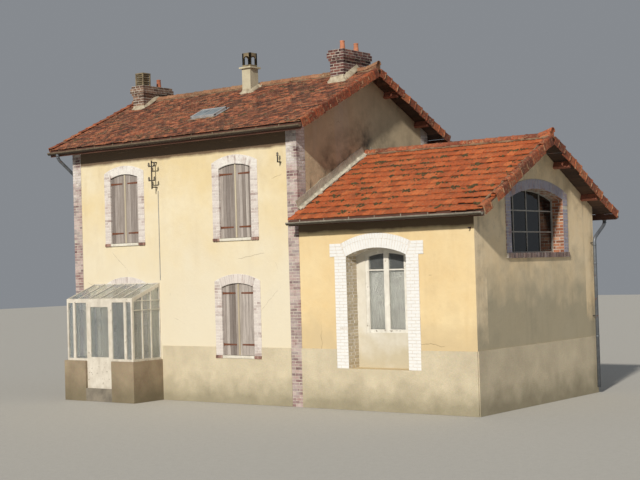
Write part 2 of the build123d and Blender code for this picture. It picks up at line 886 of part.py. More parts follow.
def clay_pot(x, y, z):
    """A tapered pot of many flats with a mouth at the top."""
    foot = Pos(x, y, z) * RegularPolygon(pot_radius, pot_sides)
    head = Pos(x, y, z + pot_height) * RegularPolygon(pot_top_radius, pot_sides)
    mouth = Pos(x, y, z + pot_height) * RegularPolygon(pot_top_radius - pot_wall, pot_sides)
    return loft([foot, head], ruled=True) - extrude(mouth, amount=-pot_bore_depth)


save([louvred_terminal(left_stack_x, -terminal_offset, left_stack_top),
      clay_pot(left_stack_x, stack_length / 4, left_stack_top),
      arched_terminal(mid_stack_x, mid_stack_y, mid_cap_top),
      clay_pot(right_stack_x, -pot_spacing / 2, right_stack_top),
      clay_pot(right_stack_x, pot_spacing / 2, right_stack_top)], "chimney_tops")

# Lead flashing where the goods hall roof meets the taller gable
flashing_x = (right, right + flashing_thickness)
flashing = total([annex_roof.layer(side, -flashing_height, 0, main_depth / 2, *flashing_x)
                  for side in (-1, 1)])
save(flashing - annex_roof.ridge_round(ridge_tile_radius, *flashing_x), "wall_flashing")

# Glazed porch: low wall and floor
porch_front = front - porch_projection
porch_inner_front = porch_front + porch_wall_thickness
porch_inner_x = (porch_x0 + porch_wall_thickness, porch_x1 - porch_wall_thickness)
doorway_half = porch_door_width / 2 + porch_post
doorway_x = (porch_centre - doorway_half, porch_centre + doorway_half)
low_walls = box(porch_x0, porch_x1, porch_front, front, 0, porch_wall_height)
low_walls -= box(*porch_inner_x, porch_inner_front, front, 0, porch_wall_height)
low_walls -= box(*doorway_x, porch_front, porch_inner_front, 0, porch_wall_height)
save(low_walls, "porch_wall")
porch_floor = box(*porch_inner_x, porch_inner_front, front, 0, ground_floor_level)
porch_floor += box(*doorway_x, porch_front, porch_inner_front, 0, ground_floor_level)
save(porch_floor, "porch_floor")

# Porch joinery: posts, rails and panes under a head that slopes up to the house wall
frame_inset = (porch_wall_thickness - porch_post) / 2
frame_y0 = porch_front + frame_inset
frame_y1 = frame_y0 + porch_post
frame_middle = (frame_y0 + frame_y1) / 2
frame_x0 = porch_x0 + frame_inset
frame_x1 = porch_x1 - frame_inset
porch_slope = (porch_head_height - porch_eaves_height) / (front - frame_y0)
light_foot = porch_wall_height + porch_rail
light_head = porch_eaves_height - porch_rail


def porch_roof_height(y):
    return porch_head_height - (front - y) * porch_slope


def porch_side_face(y0, y1, foot, drop):
    """The outline of a porch side, its head a square drop below the roof line."""
    return polygon((y0, foot), (y1, foot), (y1, porch_roof_height(y1) - drop),
                   (y0, porch_roof_height(y0) - drop))


def porch_side(x0, panes):
    """One glazed side with its upright bars; its panes are added to the list."""
    x1 = x0 + porch_post
    light = porch_side_face(frame_y1, front - porch_bar, light_foot, porch_rail)
    bay = (front - porch_bar - frame_y1) / porch_side_bays
    uprights = []
    for step in range(1, porch_side_bays):
        y = frame_y1 + step * bay
        uprights.append(box(x0, x1, y - porch_bar / 2, y + porch_bar / 2,
                            porch_wall_height, porch_head_height))
    opening = prism_x(light, x0, x1)
    middle = (x0 + x1) / 2
    half_glass = glass_thickness / 2
    pane = prism_x(light, middle - half_glass, middle + half_glass)
    whole = prism_x(porch_side_face(frame_y0, front, porch_wall_height, 0), x0, x1) - opening
    for upright in uprights:
        whole += upright & opening
        pane -= upright
    panes.append(pane)
    return whole


porch_panes = []
front_frame = box(frame_x0, frame_x1, frame_y0, frame_y1, porch_wall_height, porch_eaves_height)
half_post = porch_thick_post_width / 2
left_post = porch_centre - porch_thick_post_offset
right_post = porch_centre + porch_thick_post_offset
front_lights = [(frame_x0 + porch_post, left_post - half_post),
                (left_post + half_post, doorway_x[0]),
                (doorway_x[1], right_post - half_post),
                (right_post + half_post, frame_x1 - porch_post)]
for x0, x1 in front_lights:
    front_frame -= box(x0, x1, frame_y0, frame_y1, light_foot, light_head)
    porch_panes.append(box(x0, x1, frame_middle - glass_thickness / 2,
                           frame_middle + glass_thickness / 2, light_foot, light_head))
door_x0 = porch_centre - porch_door_width / 2
door_x1 = porch_centre + porch_door_width / 2
front_frame -= box(door_x0, door_x1, frame_y0, frame_y1, porch_wall_height, light_head)
joinery = [front_frame]
for x0 in (door_x0 - porch_post, door_x1):
    joinery.append(box(x0, x0 + porch_post, frame_y0, frame_y1, ground_floor_level, light_head))
for x0 in (frame_x0, frame_x1 - porch_post):
    joinery.append(porch_side(x0, porch_panes))
save(total(joinery), "porch_frame")


# Porch roof: glass between sloping bars, which bear on the front rail and the wall
def porch_roof_piece(y0, y1, low, high, x0, x1):
    outline = polygon((y0, porch_roof_height(y0) + low), (y1, porch_roof_height(y1) + low),
                      (y1, porch_roof_height(y1) + high), (y0, porch_roof_height(y0) + high))
    return prism_x(outline, x0, x1)


bar_pitch = (frame_x1 - frame_x0 - porch_bar) / porch_roof_bays
roof_bars = []
for index in range(porch_roof_bays + 1):
    x0 = frame_x0 + index * bar_pitch
    roof_bars.append(porch_roof_piece(frame_y0, front, 0, porch_roof_bar_depth, x0, x0 + porch_bar))
for y0, y1 in [(front - porch_bar, front), (frame_y0, frame_y0 + porch_bar)]:
    roof_bars.append(porch_roof_piece(y0, y1, 0, porch_roof_bar_depth, frame_x0, frame_x1))
roof_grid = total(roof_bars)
roof_sheet = porch_roof_piece(frame_y0, front, porch_glass_lift, porch_glass_lift + glass_thickness,
                              frame_x0, frame_x1) - roof_grid
for band in front_bands:
    roof_grid -= band
    roof_sheet -= band
porch_panes.append(roof_sheet)
save(roof_grid, "porch_roof_bars")

# Porch door: a framed leaf with a solid foot and one pane above
leaf_y = (frame_y0 + porch_door_gap, frame_y1 - porch_door_gap)
door_light = (door_x0 + porch_door_stile, door_x1 - porch_door_stile)
door_light_z = (porch_door_panel_height, light_head - porch_door_rail)
leaf = box(door_x0, door_x1, *leaf_y, ground_floor_level, light_head)
save(leaf - box(*door_light, *leaf_y, *door_light_z), "porch_door")
porch_panes.append(box(*door_light, frame_middle - glass_thickness / 2,
                       frame_middle + glass_thickness / 2, *door_light_z))
save(porch_panes, "porch_glass")


# Iron bracket with two arms, each carrying two insulators, and a hook with one
def insulator(x, y, z):
    return extrude(Pos(x, y, z) * RegularPolygon(insulator_radius, insulator_sides),
                   amount=insulator_height)


bracket_x = left + bracket_position
bracket_y = front - bracket_reach
bracket_axis = bracket_y + bracket_bar / 2
bracket_foot = bracket_height - bracket_rise
half_bar = bracket_bar / 2
bracket = [box(bracket_x - half_bar, bracket_x + half_bar, bracket_y, bracket_y + bracket_bar,
               bracket_foot, bracket_height)]
for z in (bracket_height - bracket_stay_drop, bracket_foot + bracket_foot_rise):
    bracket.append(box(bracket_x - half_bar, bracket_x + half_bar, bracket_y, front,
                       z, z + bracket_bar))
for drop in (bracket_upper_arm_drop, bracket_lower_arm_drop):
    z = bracket_height - drop
    bracket.append(box(bracket_x - bracket_arm_reach, bracket_x + bracket_arm_reach,
                       bracket_y, bracket_y + bracket_bar, z, z + bracket_bar))
    for end in (-1, 1):
        x = bracket_x + end * (bracket_arm_reach - insulator_inset)
        bracket.append(insulator(x, bracket_axis, z + bracket_bar))
hook_x = left + hook_position
hook_y = front - hook_reach
hook = total([
    box(hook_x - half_bar, hook_x + half_bar, hook_y, front, hook_height, hook_height + bracket_bar),
    box(hook_x - half_bar, hook_x + half_bar, hook_y, hook_y + bracket_bar,
        hook_height, hook_height + hook_rise - insulator_height),
    insulator(hook_x, hook_y + half_bar, hook_height + hook_rise - insulator_height)])
save([total(bracket), hook], "wire_bracket")

conduit_x = left + conduit_position
save(box(conduit_x - conduit_width / 2, conduit_x + conduit_width / 2, front - conduit_depth,
         front, conduit_foot, conduit_top), "service_conduit")
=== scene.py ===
import bpy
import math
import numpy as np
from mathutils import Matrix, Vector


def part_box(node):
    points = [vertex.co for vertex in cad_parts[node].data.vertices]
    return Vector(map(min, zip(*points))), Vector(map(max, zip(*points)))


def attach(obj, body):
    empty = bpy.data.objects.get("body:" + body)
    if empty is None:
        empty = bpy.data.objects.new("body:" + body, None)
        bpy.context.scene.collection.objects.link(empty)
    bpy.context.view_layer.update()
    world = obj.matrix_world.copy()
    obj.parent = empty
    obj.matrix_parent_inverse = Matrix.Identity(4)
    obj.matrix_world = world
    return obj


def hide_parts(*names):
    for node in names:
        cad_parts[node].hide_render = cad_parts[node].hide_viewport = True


# Looks of a small country railway station: a two-storey block and a goods hall on its gable.
# Metres, +Z up. The front faces -Y. Every piece takes its place from the frame's own nodes.
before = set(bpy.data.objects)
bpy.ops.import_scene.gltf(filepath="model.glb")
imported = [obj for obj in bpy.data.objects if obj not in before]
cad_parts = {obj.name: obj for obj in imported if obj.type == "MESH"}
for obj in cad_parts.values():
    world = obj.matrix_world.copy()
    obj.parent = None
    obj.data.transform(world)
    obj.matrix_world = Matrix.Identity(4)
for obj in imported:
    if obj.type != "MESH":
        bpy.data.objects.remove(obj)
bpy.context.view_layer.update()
dice = np.random.default_rng(11)
print("frame loaded")


# Shape helpers
def span(node):
    # the lowest and highest x, y and z of a node
    low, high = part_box(node)
    return np.array(low), np.array(high)


def tint(red, green, blue):
    # a colour as a painter reads it on a screen, turned into the linear values of a shader
    shades = np.array([red, green, blue]) / 255
    linear = np.where(shades <= 0.04045, shades / 12.92, ((shades + 0.055) / 1.055) ** 2.4)
    return (*[float(value) for value in linear], 1.0)


def circle(count):
    # angles of that many places round a circle
    return np.linspace(0, 2 * math.pi, count, endpoint=False)


def stacked(x, y, z):
    # a grid of points from its x, y and z, each spread over the whole grid
    return np.stack(np.broadcast_arrays(x, y, z), axis=-1)


def ripple(distance, seed):
    # a smooth random line: five sines of growing pitch and shrinking height, added up
    local = np.random.default_rng(seed)
    pitch = 1.7 ** np.arange(5) * 2.2
    phase = local.uniform(0, 2 * math.pi, 5)
    waves = np.sin(np.multiply.outer(distance, pitch * local.uniform(0.8, 1.2, 5)) + phase)
    return (waves * 0.75 ** np.arange(5)).sum(axis=-1) / 2.4


def outward(points, faces):
    # the signed volume, a sum of triple products, is positive when all faces point out
    volume = 0.0
    for group in faces:
        corner = points[group]
        for step in range(1, group.shape[1] - 1):
            normals = np.cross(corner[:, step], corner[:, step + 1])
            volume += float((corner[:, 0] * normals).sum())
    return points, (faces if volume > 0 else [group[:, ::-1] for group in faces])


def loft(sections, closed=False):
    # m closed loops of k points each, skinned from one to the next; the ends are capped
    rings, corners = sections.shape[:2]
    index = np.arange(rings * corners).reshape(rings, corners)
    here = index if closed else index[:-1]
    there = np.roll(index, -1, axis=0) if closed else index[1:]
    sides = np.stack([here, np.roll(here, -1, axis=1), np.roll(there, -1, axis=1), there], axis=-1)
    faces = [sides.reshape(-1, 4)]
    if not closed:
        faces += [index[:1, ::-1], index[-1:]]
    return outward(sections.reshape(-1, 3), faces)


def turned(profile, foot, segments=24):
    # radius and height pairs, spun about an upright axis; both ends are closed by a disc
    radius, height = np.array(profile).T[:, :, None]
    angles = circle(segments)
    return loft(stacked(radius * np.cos(angles), radius * np.sin(angles), height) + np.array(foot))


def tube(path, radius, segments=16, reference=(1.0, 0.35, 0.0)):
    # circles square to a path; radius may change along it
    path = np.asarray(path, float)
    tangent = np.gradient(path, axis=0)
    tangent /= np.linalg.norm(tangent, axis=1, keepdims=True)
    first = np.cross(tangent, np.array(reference))
    first /= np.linalg.norm(first, axis=1, keepdims=True)
    second = np.cross(tangent, first)
    angles = circle(segments)
    radii = np.broadcast_to(radius, len(path))[:, None, None]
    ring = (first[:, None] * np.cos(angles)[None, :, None]
            + second[:, None] * np.sin(angles)[None, :, None])
    return loft(path[:, None] + radii * ring)


def easedPath(corners, bend):
    # straight runs with a quadratic curve at each corner, from bend before it to bend after it
    corners = np.array(corners, float)
    share = np.linspace(0, 1, 7)[:, None]
    pieces = [corners[:1]]
    for before, corner, after in zip(corners, corners[1:], corners[2:]):
        start = corner + (before - corner) * bend / np.linalg.norm(before - corner)
        end = corner + (after - corner) * bend / np.linalg.norm(after - corner)
        pieces.append((1 - share) ** 2 * start + 2 * share * (1 - share) * corner
                      + share ** 2 * end)
    return np.concatenate(pieces + [corners[-1:]])


cubeCorners = np.indices((2, 2, 2)).reshape(3, 8).T - 0.5
cubeFaces = np.array([[0, 1, 3, 2], [4, 6, 7, 5], [0, 4, 5, 1], [2, 3, 7, 6], [0, 2, 6, 4],
                      [1, 5, 7, 3]])


def repeated(faces, size, count):
    # the faces of one unit of that many points, once for each of its copies
    step = size * np.arange(count)[:, None, None]
    return [(group[None] + step).reshape(-1, group.shape[1]) for group in faces]


def boxes(centres, sizes, axes=None):
    # many boxes at once: corners of a unit cube, times the size, turned, then moved
    centres = np.atleast_2d(np.asarray(centres, float))
    sizes = np.broadcast_to(np.asarray(sizes, float), centres.shape)
    corners = cubeCorners[None] * sizes[:, None]
    if axes is not None:
        corners = corners @ np.asarray(axes)
    return (corners + centres[:, None]).reshape(-1, 3), repeated([cubeFaces], 8, len(centres))


def spanBox(x0, x1, y0, y1, z0, z1):
    # one box between two limits on each axis, given in either order
    return boxes([[(x0 + x1) / 2, (y0 + y1) / 2, (z0 + z1) / 2]],
                 [[abs(x1 - x0), abs(y1 - y0), abs(z1 - z0)]])


def bar(x, half, y0, y1, z0, z1):
    # a box as far to the left of x as to the right of it
    return spanBox(x - half, x + half, y0, y1, z0, z1)


def toned(shape):
    # one random tone for every box, at all of its eight corners
    points, faces = shape
    return points, faces, np.repeat(dice.uniform(0.0, 1.0, len(points) // 8), 8)


def joined(parts):
    # one shape of many: each part's faces count on from the points before it, and a part without
    # a tone of its own gets a random one
    points, faces, tones = [], [], []
    start = 0
    for part in parts:
        points.append(part[0])
        faces += [group + start for group in part[1]]
        tones.append(part[2] if len(part) > 2 else np.full(len(part[0]), dice.uniform()))
        start += len(part[0])
    return np.concatenate(points), faces, np.concatenate(tones)


def addPiece(name, shape, material, slotName, stands=(), bevel=0.0, smooth=False, **values):
    # a mesh straight from arrays: points, the corners of all faces in a row, and one attribute
    # for each further value of the points; bevel is the width of its worn edges
    points, faces = shape[0], shape[1]
    if len(shape) > 2:
        values["tone"] = shape[2]
    mesh = bpy.data.meshes.new(name)
    counts = np.concatenate([np.full(len(group), group.shape[1]) for group in faces])
    corners = np.concatenate([group.ravel() for group in faces]).astype(np.int32)
    mesh.vertices.add(len(points))
    mesh.vertices.foreach_set("co", points.astype(np.float32).ravel())
    mesh.loops.add(len(corners))
    mesh.loops.foreach_set("vertex_index", corners)
    mesh.polygons.add(len(counts))
    mesh.polygons.foreach_set("loop_start", (np.cumsum(counts) - counts).astype(np.int32))
    mesh.polygons.foreach_set("use_smooth", np.full(len(counts), smooth))
    mesh.update(calc_edges=True)
    mesh.validate()
    for key, numbers in values.items():
        layer = mesh.attributes.new(key, "FLOAT", "POINT")
        layer.data.foreach_set("value", np.asarray(numbers, np.float32))
    mesh.materials.append(material)
    piece = bpy.data.objects.new(name, mesh)
    bpy.context.scene.collection.objects.link(piece)
    if bevel:
        edge = piece.modifiers.new("worn edges", "BEVEL")
        edge.width, edge.segments, edge.limit_method = bevel, 1, "ANGLE"
        edge.angle_limit = math.radians(40)
    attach(piece, "root")
    if stands:
        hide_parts(*stands)
    return piece


# Shader helpers
class Nodes:
    # short ways to add nodes to one tree, each giving back what the node puts out: a sum or a
    # product of two numbers, two colours mixed by a share, a range of values brought to another,
    # a place stretched along its axes, and noise
    def __init__(self, tree):
        self.tree = tree

    def link(self, start, end):
        self.tree.links.new(start, end)

    def add(self, kind, inputs=None, **settings):
        # three numbers given to a colour socket are a colour as a screen shows it
        node = self.tree.nodes.new("ShaderNode" + kind)
        for key, value in settings.items():
            setattr(node, key, value)
        for key, value in (inputs or {}).items():
            socket = node.inputs[key]
            if isinstance(value, bpy.types.NodeSocket):
                self.link(value, socket)
            elif socket.type == "RGBA" and len(value) == 3:
                socket.default_value = tint(*value)
            else:
                socket.default_value = value
        return node.outputs

    def maths(self, how, first, second=0.0, clamp=False):
        return self.add("Math", {0: first, 1: second}, operation=how, use_clamp=clamp)[0]

    def times(self, first, second):
        return self.maths("MULTIPLY", first, second)

    def mixed(self, share, first, second, how="MIX"):
        return self.add("Mix", {0: share, 6: first, 7: second}, data_type="RGBA", blend_type=how)[2]

    def ranged(self, value, low, high, start=0.0, end=1.0):
        return self.add("MapRange", {0: value, 1: low, 2: high, 3: start, 4: end})[0]

    def stretched(self, vector, scale):
        return self.add("Mapping", {"Vector": vector, "Scale": scale})[0]

    def noise(self, vector, scale, detail, roughness=0.5, distortion=0.0):
        return self.add("TexNoise", {"Vector": vector, "Scale": scale, "Detail": detail,
                                     "Roughness": roughness, "Distortion": distortion})


def newGroup(name, inputs, outputs=("Mask",)):
    # a place, then each input by its name and first value, with four numbers for a colour
    group = bpy.data.node_groups.new(name, "ShaderNodeTree")
    for label, value in {"Vector": None, **inputs}.items():
        kind = "Vector" if value is None else "Color" if isinstance(value, tuple) else "Float"
        socket = group.interface.new_socket(label, in_out="INPUT", socket_type="NodeSocket" + kind)
        if value is not None:
            socket.default_value = value
    for label in outputs:
        kind = "Color" if label == "Color" else "Float"
        group.interface.new_socket(label, in_out="OUTPUT", socket_type="NodeSocket" + kind)
    given = group.nodes.new("NodeGroupInput").outputs
    return Nodes(group), given, group.nodes.new("NodeGroupOutput").inputs


def patchesGroup():
    # noise cut to a soft-edged mask: stains, lichen, worn paint
    nodes, given, out = newGroup("patches", {"Scale": 1.0, "Low": 0.45, "High": 0.6})
    noise = nodes.noise(given[0], given[1], 7.0, 0.62)[0]
    nodes.link(nodes.ranged(noise, given[2], given[3]), out[0])
    return nodes.tree


def streaksGroup():
    # noise drawn out along Z: what rain leaves below sills, eaves and verges
    nodes, given, out = newGroup("rain streaks", {"Scale": 4.0, "Low": 0.45, "High": 0.7})
    noise = nodes.noise(nodes.stretched(given[0], (1.0, 1.0, 0.07)), given[1], 5.0, 0.6)[0]
    nodes.link(nodes.ranged(noise, given[2], given[3]), out[0])
    return nodes.tree


def toneGroup():
    # three colours of one batch, picked by each unit's own tone and clouded a little
    nodes, given, out = newGroup("batch tone", {
        "Dark": (0.1, 0.1, 0.1, 1), "Middle": (0.3, 0.3, 0.3, 1),
        "Light": (0.6, 0.6, 0.6, 1), "Cloud": 0.35}, ["Color", "Tone"])
    tone = nodes.add("Attribute", attribute_name="tone")["Fac"]
    noise = nodes.noise(given[0], 14.0, 6.0, 0.65)[0]
    shift = nodes.times(nodes.maths("SUBTRACT", noise, 0.5), given[4])
    level = nodes.maths("ADD", tone, shift, True)
    lower = nodes.mixed(nodes.ranged(level, 0.0, 0.5), given[1], given[2])
    nodes.link(nodes.mixed(nodes.ranged(level, 0.5, 1.0), lower, given[3]), out[0])
    nodes.link(level, out[1])
    return nodes.tree


def grainGroup():
    # height of a rough surface: coarse lumps and fine sand
    nodes, given, out = newGroup("rough surface", {"Scale": 60.0, "Lumps": 0.5}, ["Height"])
    sand = nodes.noise(given[0], given[1], 8.0, 0.7)[0]
    lumps = nodes.noise(given[0], nodes.times(given[1], 0.18), 3.0)[0]
    nodes.link(nodes.maths("ADD", nodes.times(lumps, given[2]), sand), out[0])
    return nodes.tree


def heightGroup():
    # a mask that fades from 1 at Bottom to 0 at Top, its edge broken by noise
    nodes, given, out = newGroup("height fade", {"Bottom": 0.0, "Top": 1.0, "Break": 0.5})
    level = nodes.add("SeparateXYZ", {0: given[0]})[2]
    broken = nodes.maths("SUBTRACT", nodes.noise(given[0], 2.2, 6.0)[0], 0.5)
    moved = nodes.maths("ADD", level, nodes.times(broken, given[3]))
    nodes.link(nodes.ranged(moved, given[1], given[2], 1.0, 0.0), out[0])
    return nodes.tree


def rustGroup():
    # patches of rust of two browns over a base colour
    nodes, given, out = newGroup("rust", {"Base": (0.2, 0.2, 0.2, 1), "Amount": 0.5},
                                 ["Color", "Mask"])
    noise = nodes.noise(given[0], 9.0, 8.0, 0.7)[0]
    edge = nodes.maths("SUBTRACT", 0.78, nodes.times(given[2], 0.4))
    mask = nodes.ranged(noise, edge, nodes.maths("ADD", edge, 0.06))
    fine = nodes.noise(given[0], 45.0, 5.0)[0]
    rust = nodes.mixed(nodes.ranged(fine, 0.35, 0.65), (74, 44, 30), (128, 74, 42))
    nodes.link(nodes.mixed(mask, given[1], rust), out[0])
    nodes.link(mask, out[1])
    return nodes.tree


groups = {"patches": patchesGroup(), "streaks": streaksGroup(), "tone": toneGroup(),
          "grain": grainGroup(), "height": heightGroup(), "rust": rustGroup()}


class Finish(Nodes):
    # a material in the making. Patches, streaks, a fade by height and grain are masks made by the
    # groups above, and tones the colours of a batch; place and facing read one axis of the place
    # and of the face's direction
    def __init__(self, name):
        self.material = bpy.data.materials.new(name)
        self.material.use_nodes = True
        super().__init__(self.material.node_tree)
        self.shader = self.tree.nodes["Principled BSDF"].inputs
        self.coordinates = self.add("TexCoord")
        self.spot = self.coordinates["Object"]
        self.colour = None

    def use(self, key, **values):
        return self.add("Group", {"Vector": self.spot, **values}, node_tree=groups[key])

    def patches(self, scale, low, high):
        return self.use("patches", Scale=scale, Low=low, High=high)[0]

    def streaks(self, scale, low, high):
        return self.use("streaks", Scale=scale, Low=low, High=high)[0]

    def fade(self, bottom, top, broken):
        return self.use("height", Bottom=bottom, Top=top, Break=broken)[0]

    def grain(self, scale, lumps):
        return self.use("grain", Scale=scale, Lumps=lumps)[0]

    def tones(self, batch, cloud):
        dark, middle, light = batch["tones"]
        return self.use("tone", Dark=dark, Middle=middle, Light=light, Cloud=cloud)

    def fibres(self, along, scale):
        # long wood fibres: noise squeezed along the grain
        stretch = [0.05 if axis == along else 1.0 for axis in range(3)]
        return self.noise(self.stretched(self.spot, stretch), scale, 9.0, 0.68, 0.25)[0]

    def place(self, axis):
        return self.add("SeparateXYZ", {0: self.spot})[axis]

    def facing(self, axis):
        return self.add("SeparateXYZ", {0: self.coordinates["Normal"]})[axis]

    def lay(self, mask, paint, share=1.0):
        # the paint covers the colour so far by the mask times its share
        if share != 1.0:
            mask = self.times(mask, share)
        self.colour = self.mixed(mask, self.colour, paint)

    def done(self, roughness, height, strength, distance):
        # colour, roughness and relief go to the shader
        self.link(self.colour, self.shader["Base Color"])
        if isinstance(roughness, bpy.types.NodeSocket):
            self.link(roughness, self.shader["Roughness"])
        else:
            self.shader["Roughness"].default_value = roughness
        relief = self.add("Bump", {"Height": height, "Strength": strength, "Distance": distance})
        self.link(relief[0], self.shader["Normal"])
        return self.material


# Finishes of the walls
def limeRender(name, coat, ends=None, splash=None):
    # clouds, broken rain streaks, a foot of another tone, worn patches, hair cracks and a painted
    # shadow of the eaves, a dark band on the wall above the eaves height. Faces that look along
    # X take the coat of the ends, and splash is the mould over a lower roof
    skin = Finish(name)
    endwise = skin.ranged(skin.maths("ABSOLUTE", skin.facing(0)), 0.5, 0.6) if ends else None

    def given(key):
        # a value of the coat, or of both coats mixed by where the face looks
        if not ends:
            return coat[key]
        if isinstance(coat[key], tuple):
            return skin.mixed(endwise, coat[key], ends[key])
        return skin.ranged(endwise, 0.0, 1.0, coat[key], ends[key])

    skin.colour = skin.mixed(skin.patches(0.8, 0.35, 0.68), given("base"), given("pale"))
    skin.lay(skin.patches(5.0, 0.42, 0.75), given("worn"), 0.35)
    skin.lay(skin.times(skin.streaks(3.1, 0.5, 0.8), skin.patches(0.9, 0.42, 0.66)), given("stain"),
             given("streaks"))
    skin.lay(skin.patches(1.5, 0.52, 0.74), given("stain"), given("blots"))
    skin.lay(skin.fade(*coat["wet"], 1.6), given("low"), 0.85)
    # painted shadow of the eaves: the front and back walls above the eaves height take a dark
    # colour
    if "eaves" in coat:
        belowEaveShade = skin.fade(coat["eaves"] - 0.03, coat["eaves"] + 0.05, 0.12)
        kept = skin.times(skin.maths("SUBTRACT", 1.0, belowEaveShade),
                          skin.maths("SUBTRACT", 1.0, endwise))
        skin.lay(kept, coat["dirtAndShade"], 0.9)
    if splash:
        fall = skin.times(skin.maths("ABSOLUTE", skin.place(1)), splash["slope"])
        above = skin.maths("ADD", skin.maths("SUBTRACT", skin.place(2), splash["ridge"]), fall)
        near = skin.times(skin.ranged(above, splash["reach"], 0.15),
                          skin.ranged(skin.place(0), 0.0, 1.0))
        skin.lay(skin.streaks(1.1, 0.5, 0.62), splash["washed"], 0.45)
        skin.lay(skin.times(skin.patches(1.25, 0.42, 0.62), near), splash["mould"], 0.9)
    bent = skin.mixed(0.12, skin.spot, skin.noise(skin.spot, 3.0, 4.0)["Color"])
    cell = skin.add("TexVoronoi", {"Vector": bent, "Scale": 0.55}, feature="DISTANCE_TO_EDGE")
    crack = skin.times(skin.ranged(cell["Distance"], 0.0012, 0.0035, 1.0, 0.0),
                       skin.patches(0.6, 0.55, 0.6))
    skin.lay(crack, (110, 92, 70), 0.55)
    return skin.done(0.93, skin.maths("SUBTRACT", skin.grain(75.0, 1.6), crack), 0.55, 0.006)


def brickSkin(name, kiln, limewash=None):
    # fired clay of three tones; where there was limewash, what is left of it in patches, either
    # all round or only on the faces that look along one axis
    skin = Finish(name)
    fired = skin.tones(kiln, 0.5)
    skin.colour = fired[0]
    bloom = skin.patches(6.0, 0.5, 0.75)
    skin.lay(bloom, kiln["bloom"], 0.4)
    skin.lay(skin.streaks(7.0, 0.52, 0.75), (62, 54, 52), kiln["soot"])
    if limewash:
        spread = skin.patches(*limewash["patches"])
        cover = skin.maths("ADD", spread, skin.times(fired[1], limewash["byBrick"]), True)
        keep = skin.ranged(skin.fade(*limewash["fade"], 0.7), 0.0, 1.0, 1.0, limewash["keep"])
        if "looks" in limewash:
            along = skin.maths("ABSOLUTE", skin.facing(limewash["looks"]))
            keep = skin.times(keep, skin.ranged(along, 0.6, 0.75))
        skin.lay(skin.times(cover, keep), skin.mixed(bloom, limewash["white"], limewash["grey"]))
    return skin.done(0.9, skin.grain(110.0, 1.2), 0.5, 0.003)


def mortarSkin(name, pale, dark, lumps=1.0):
    # two clouded tones of mortar with dark grains of sand
    skin = Finish(name)
    skin.colour = skin.mixed(skin.patches(7.0, 0.35, 0.7), pale, dark)
    skin.lay(skin.patches(60.0, 0.55, 0.62), (120, 110, 96), 0.35)
    return skin.done(0.95, skin.grain(90.0, lumps), 0.7, 0.005)


def roughcast(name, dark, pale):
    # thrown pebble render: rounded lumps of stone under a worn coat
    skin = Finish(name)
    skin.colour = skin.mixed(skin.patches(1.3, 0.35, 0.7), dark, pale)
    pebble = skin.add("TexVoronoi", {"Vector": skin.spot, "Scale": 55.0, "Randomness": 1.0})
    stone = skin.ranged(pebble["Distance"], 0.15, 0.6, 1.0, 0.0)
    skin.colour = skin.mixed(skin.times(stone, 0.3), skin.colour, pebble["Color"], "SOFT_LIGHT")
    skin.lay(skin.fade(0.1, 0.75, 0.8), (96, 92, 70), 0.55)
    return skin.done(0.97, stone, 0.8, 0.008)


def dressedStone(name, pale, dark):
    # two clouded tones of stone with small dark pits
    skin = Finish(name)
    skin.colour = skin.mixed(skin.patches(3.0, 0.35, 0.7), pale, dark)
    pit = skin.patches(34.0, 0.56, 0.66)
    skin.lay(pit, (92, 84, 72), 0.4)
    return skin.done(0.88, skin.maths("SUBTRACT", skin.grain(70.0, 0.8), pit), 0.45, 0.004)


# Finishes of wood, metal, glass and cloth
def weatheredWood(name, wood, along):
    # bare boards gone grey: a tone for each board, darker fibres and rain stains
    skin = Finish(name)
    skin.colour = skin.tones(wood, 0.3)[0]
    grain = skin.fibres(along, 26.0)
    skin.lay(skin.ranged(grain, 0.38, 0.66), wood["fibre"], 0.55)
    skin.lay(skin.streaks(6.0, 0.5, 0.74), wood["stain"], wood["stains"])
    return skin.done(skin.ranged(grain, 0.3, 0.7, 0.72, 0.92), grain, 0.6, 0.004)


def paintedWood(name, paint):
    # old gloss paint that has gone chalky and flaked down to grey wood
    skin = Finish(name)
    coat = skin.mixed(skin.patches(5.0, 0.35, 0.7), paint["coat"], paint["dull"])
    grain = skin.fibres(2, 34.0)
    flake = skin.patches(13.0, paint["flakeLow"], paint["flakeLow"] + 0.035)
    bare = skin.mixed(skin.ranged(grain, 0.4, 0.62), paint["bare"], (150, 140, 124))
    skin.colour = skin.mixed(flake, coat, bare)
    skin.lay(skin.streaks(9.0, 0.52, 0.78), (120, 112, 98), 0.35)
    height = skin.maths("SUBTRACT", skin.times(grain, 0.4), flake)
    return skin.done(skin.ranged(flake, 0.0, 1.0, paint["gloss"], 0.9), height, 0.4, 0.0025)


def oldMetal(name, metal):
    # two clouded tones under patches of rust, with a painted shade on faces that look down
    skin = Finish(name)
    base = skin.mixed(skin.patches(6.0, 0.35, 0.7), metal["base"], metal["dull"])
    # the under colour is painted shade on the faces that look down
    if "under" in metal:
        base = skin.mixed(skin.ranged(skin.facing(2), -0.1, -0.45), base, metal["under"])
    skin.colour, rusty = skin.use("rust", Base=base, Amount=metal["rust"])
    skin.link(skin.ranged(rusty, 0.0, 1.0, metal["metal"], 0.0), skin.shader["Metallic"])
    return skin.done(skin.ranged(rusty, 0.0, 1.0, metal["gloss"], 0.93),
                     skin.maths("ADD", skin.grain(90.0, 1.0), rusty), 0.3, 0.002)


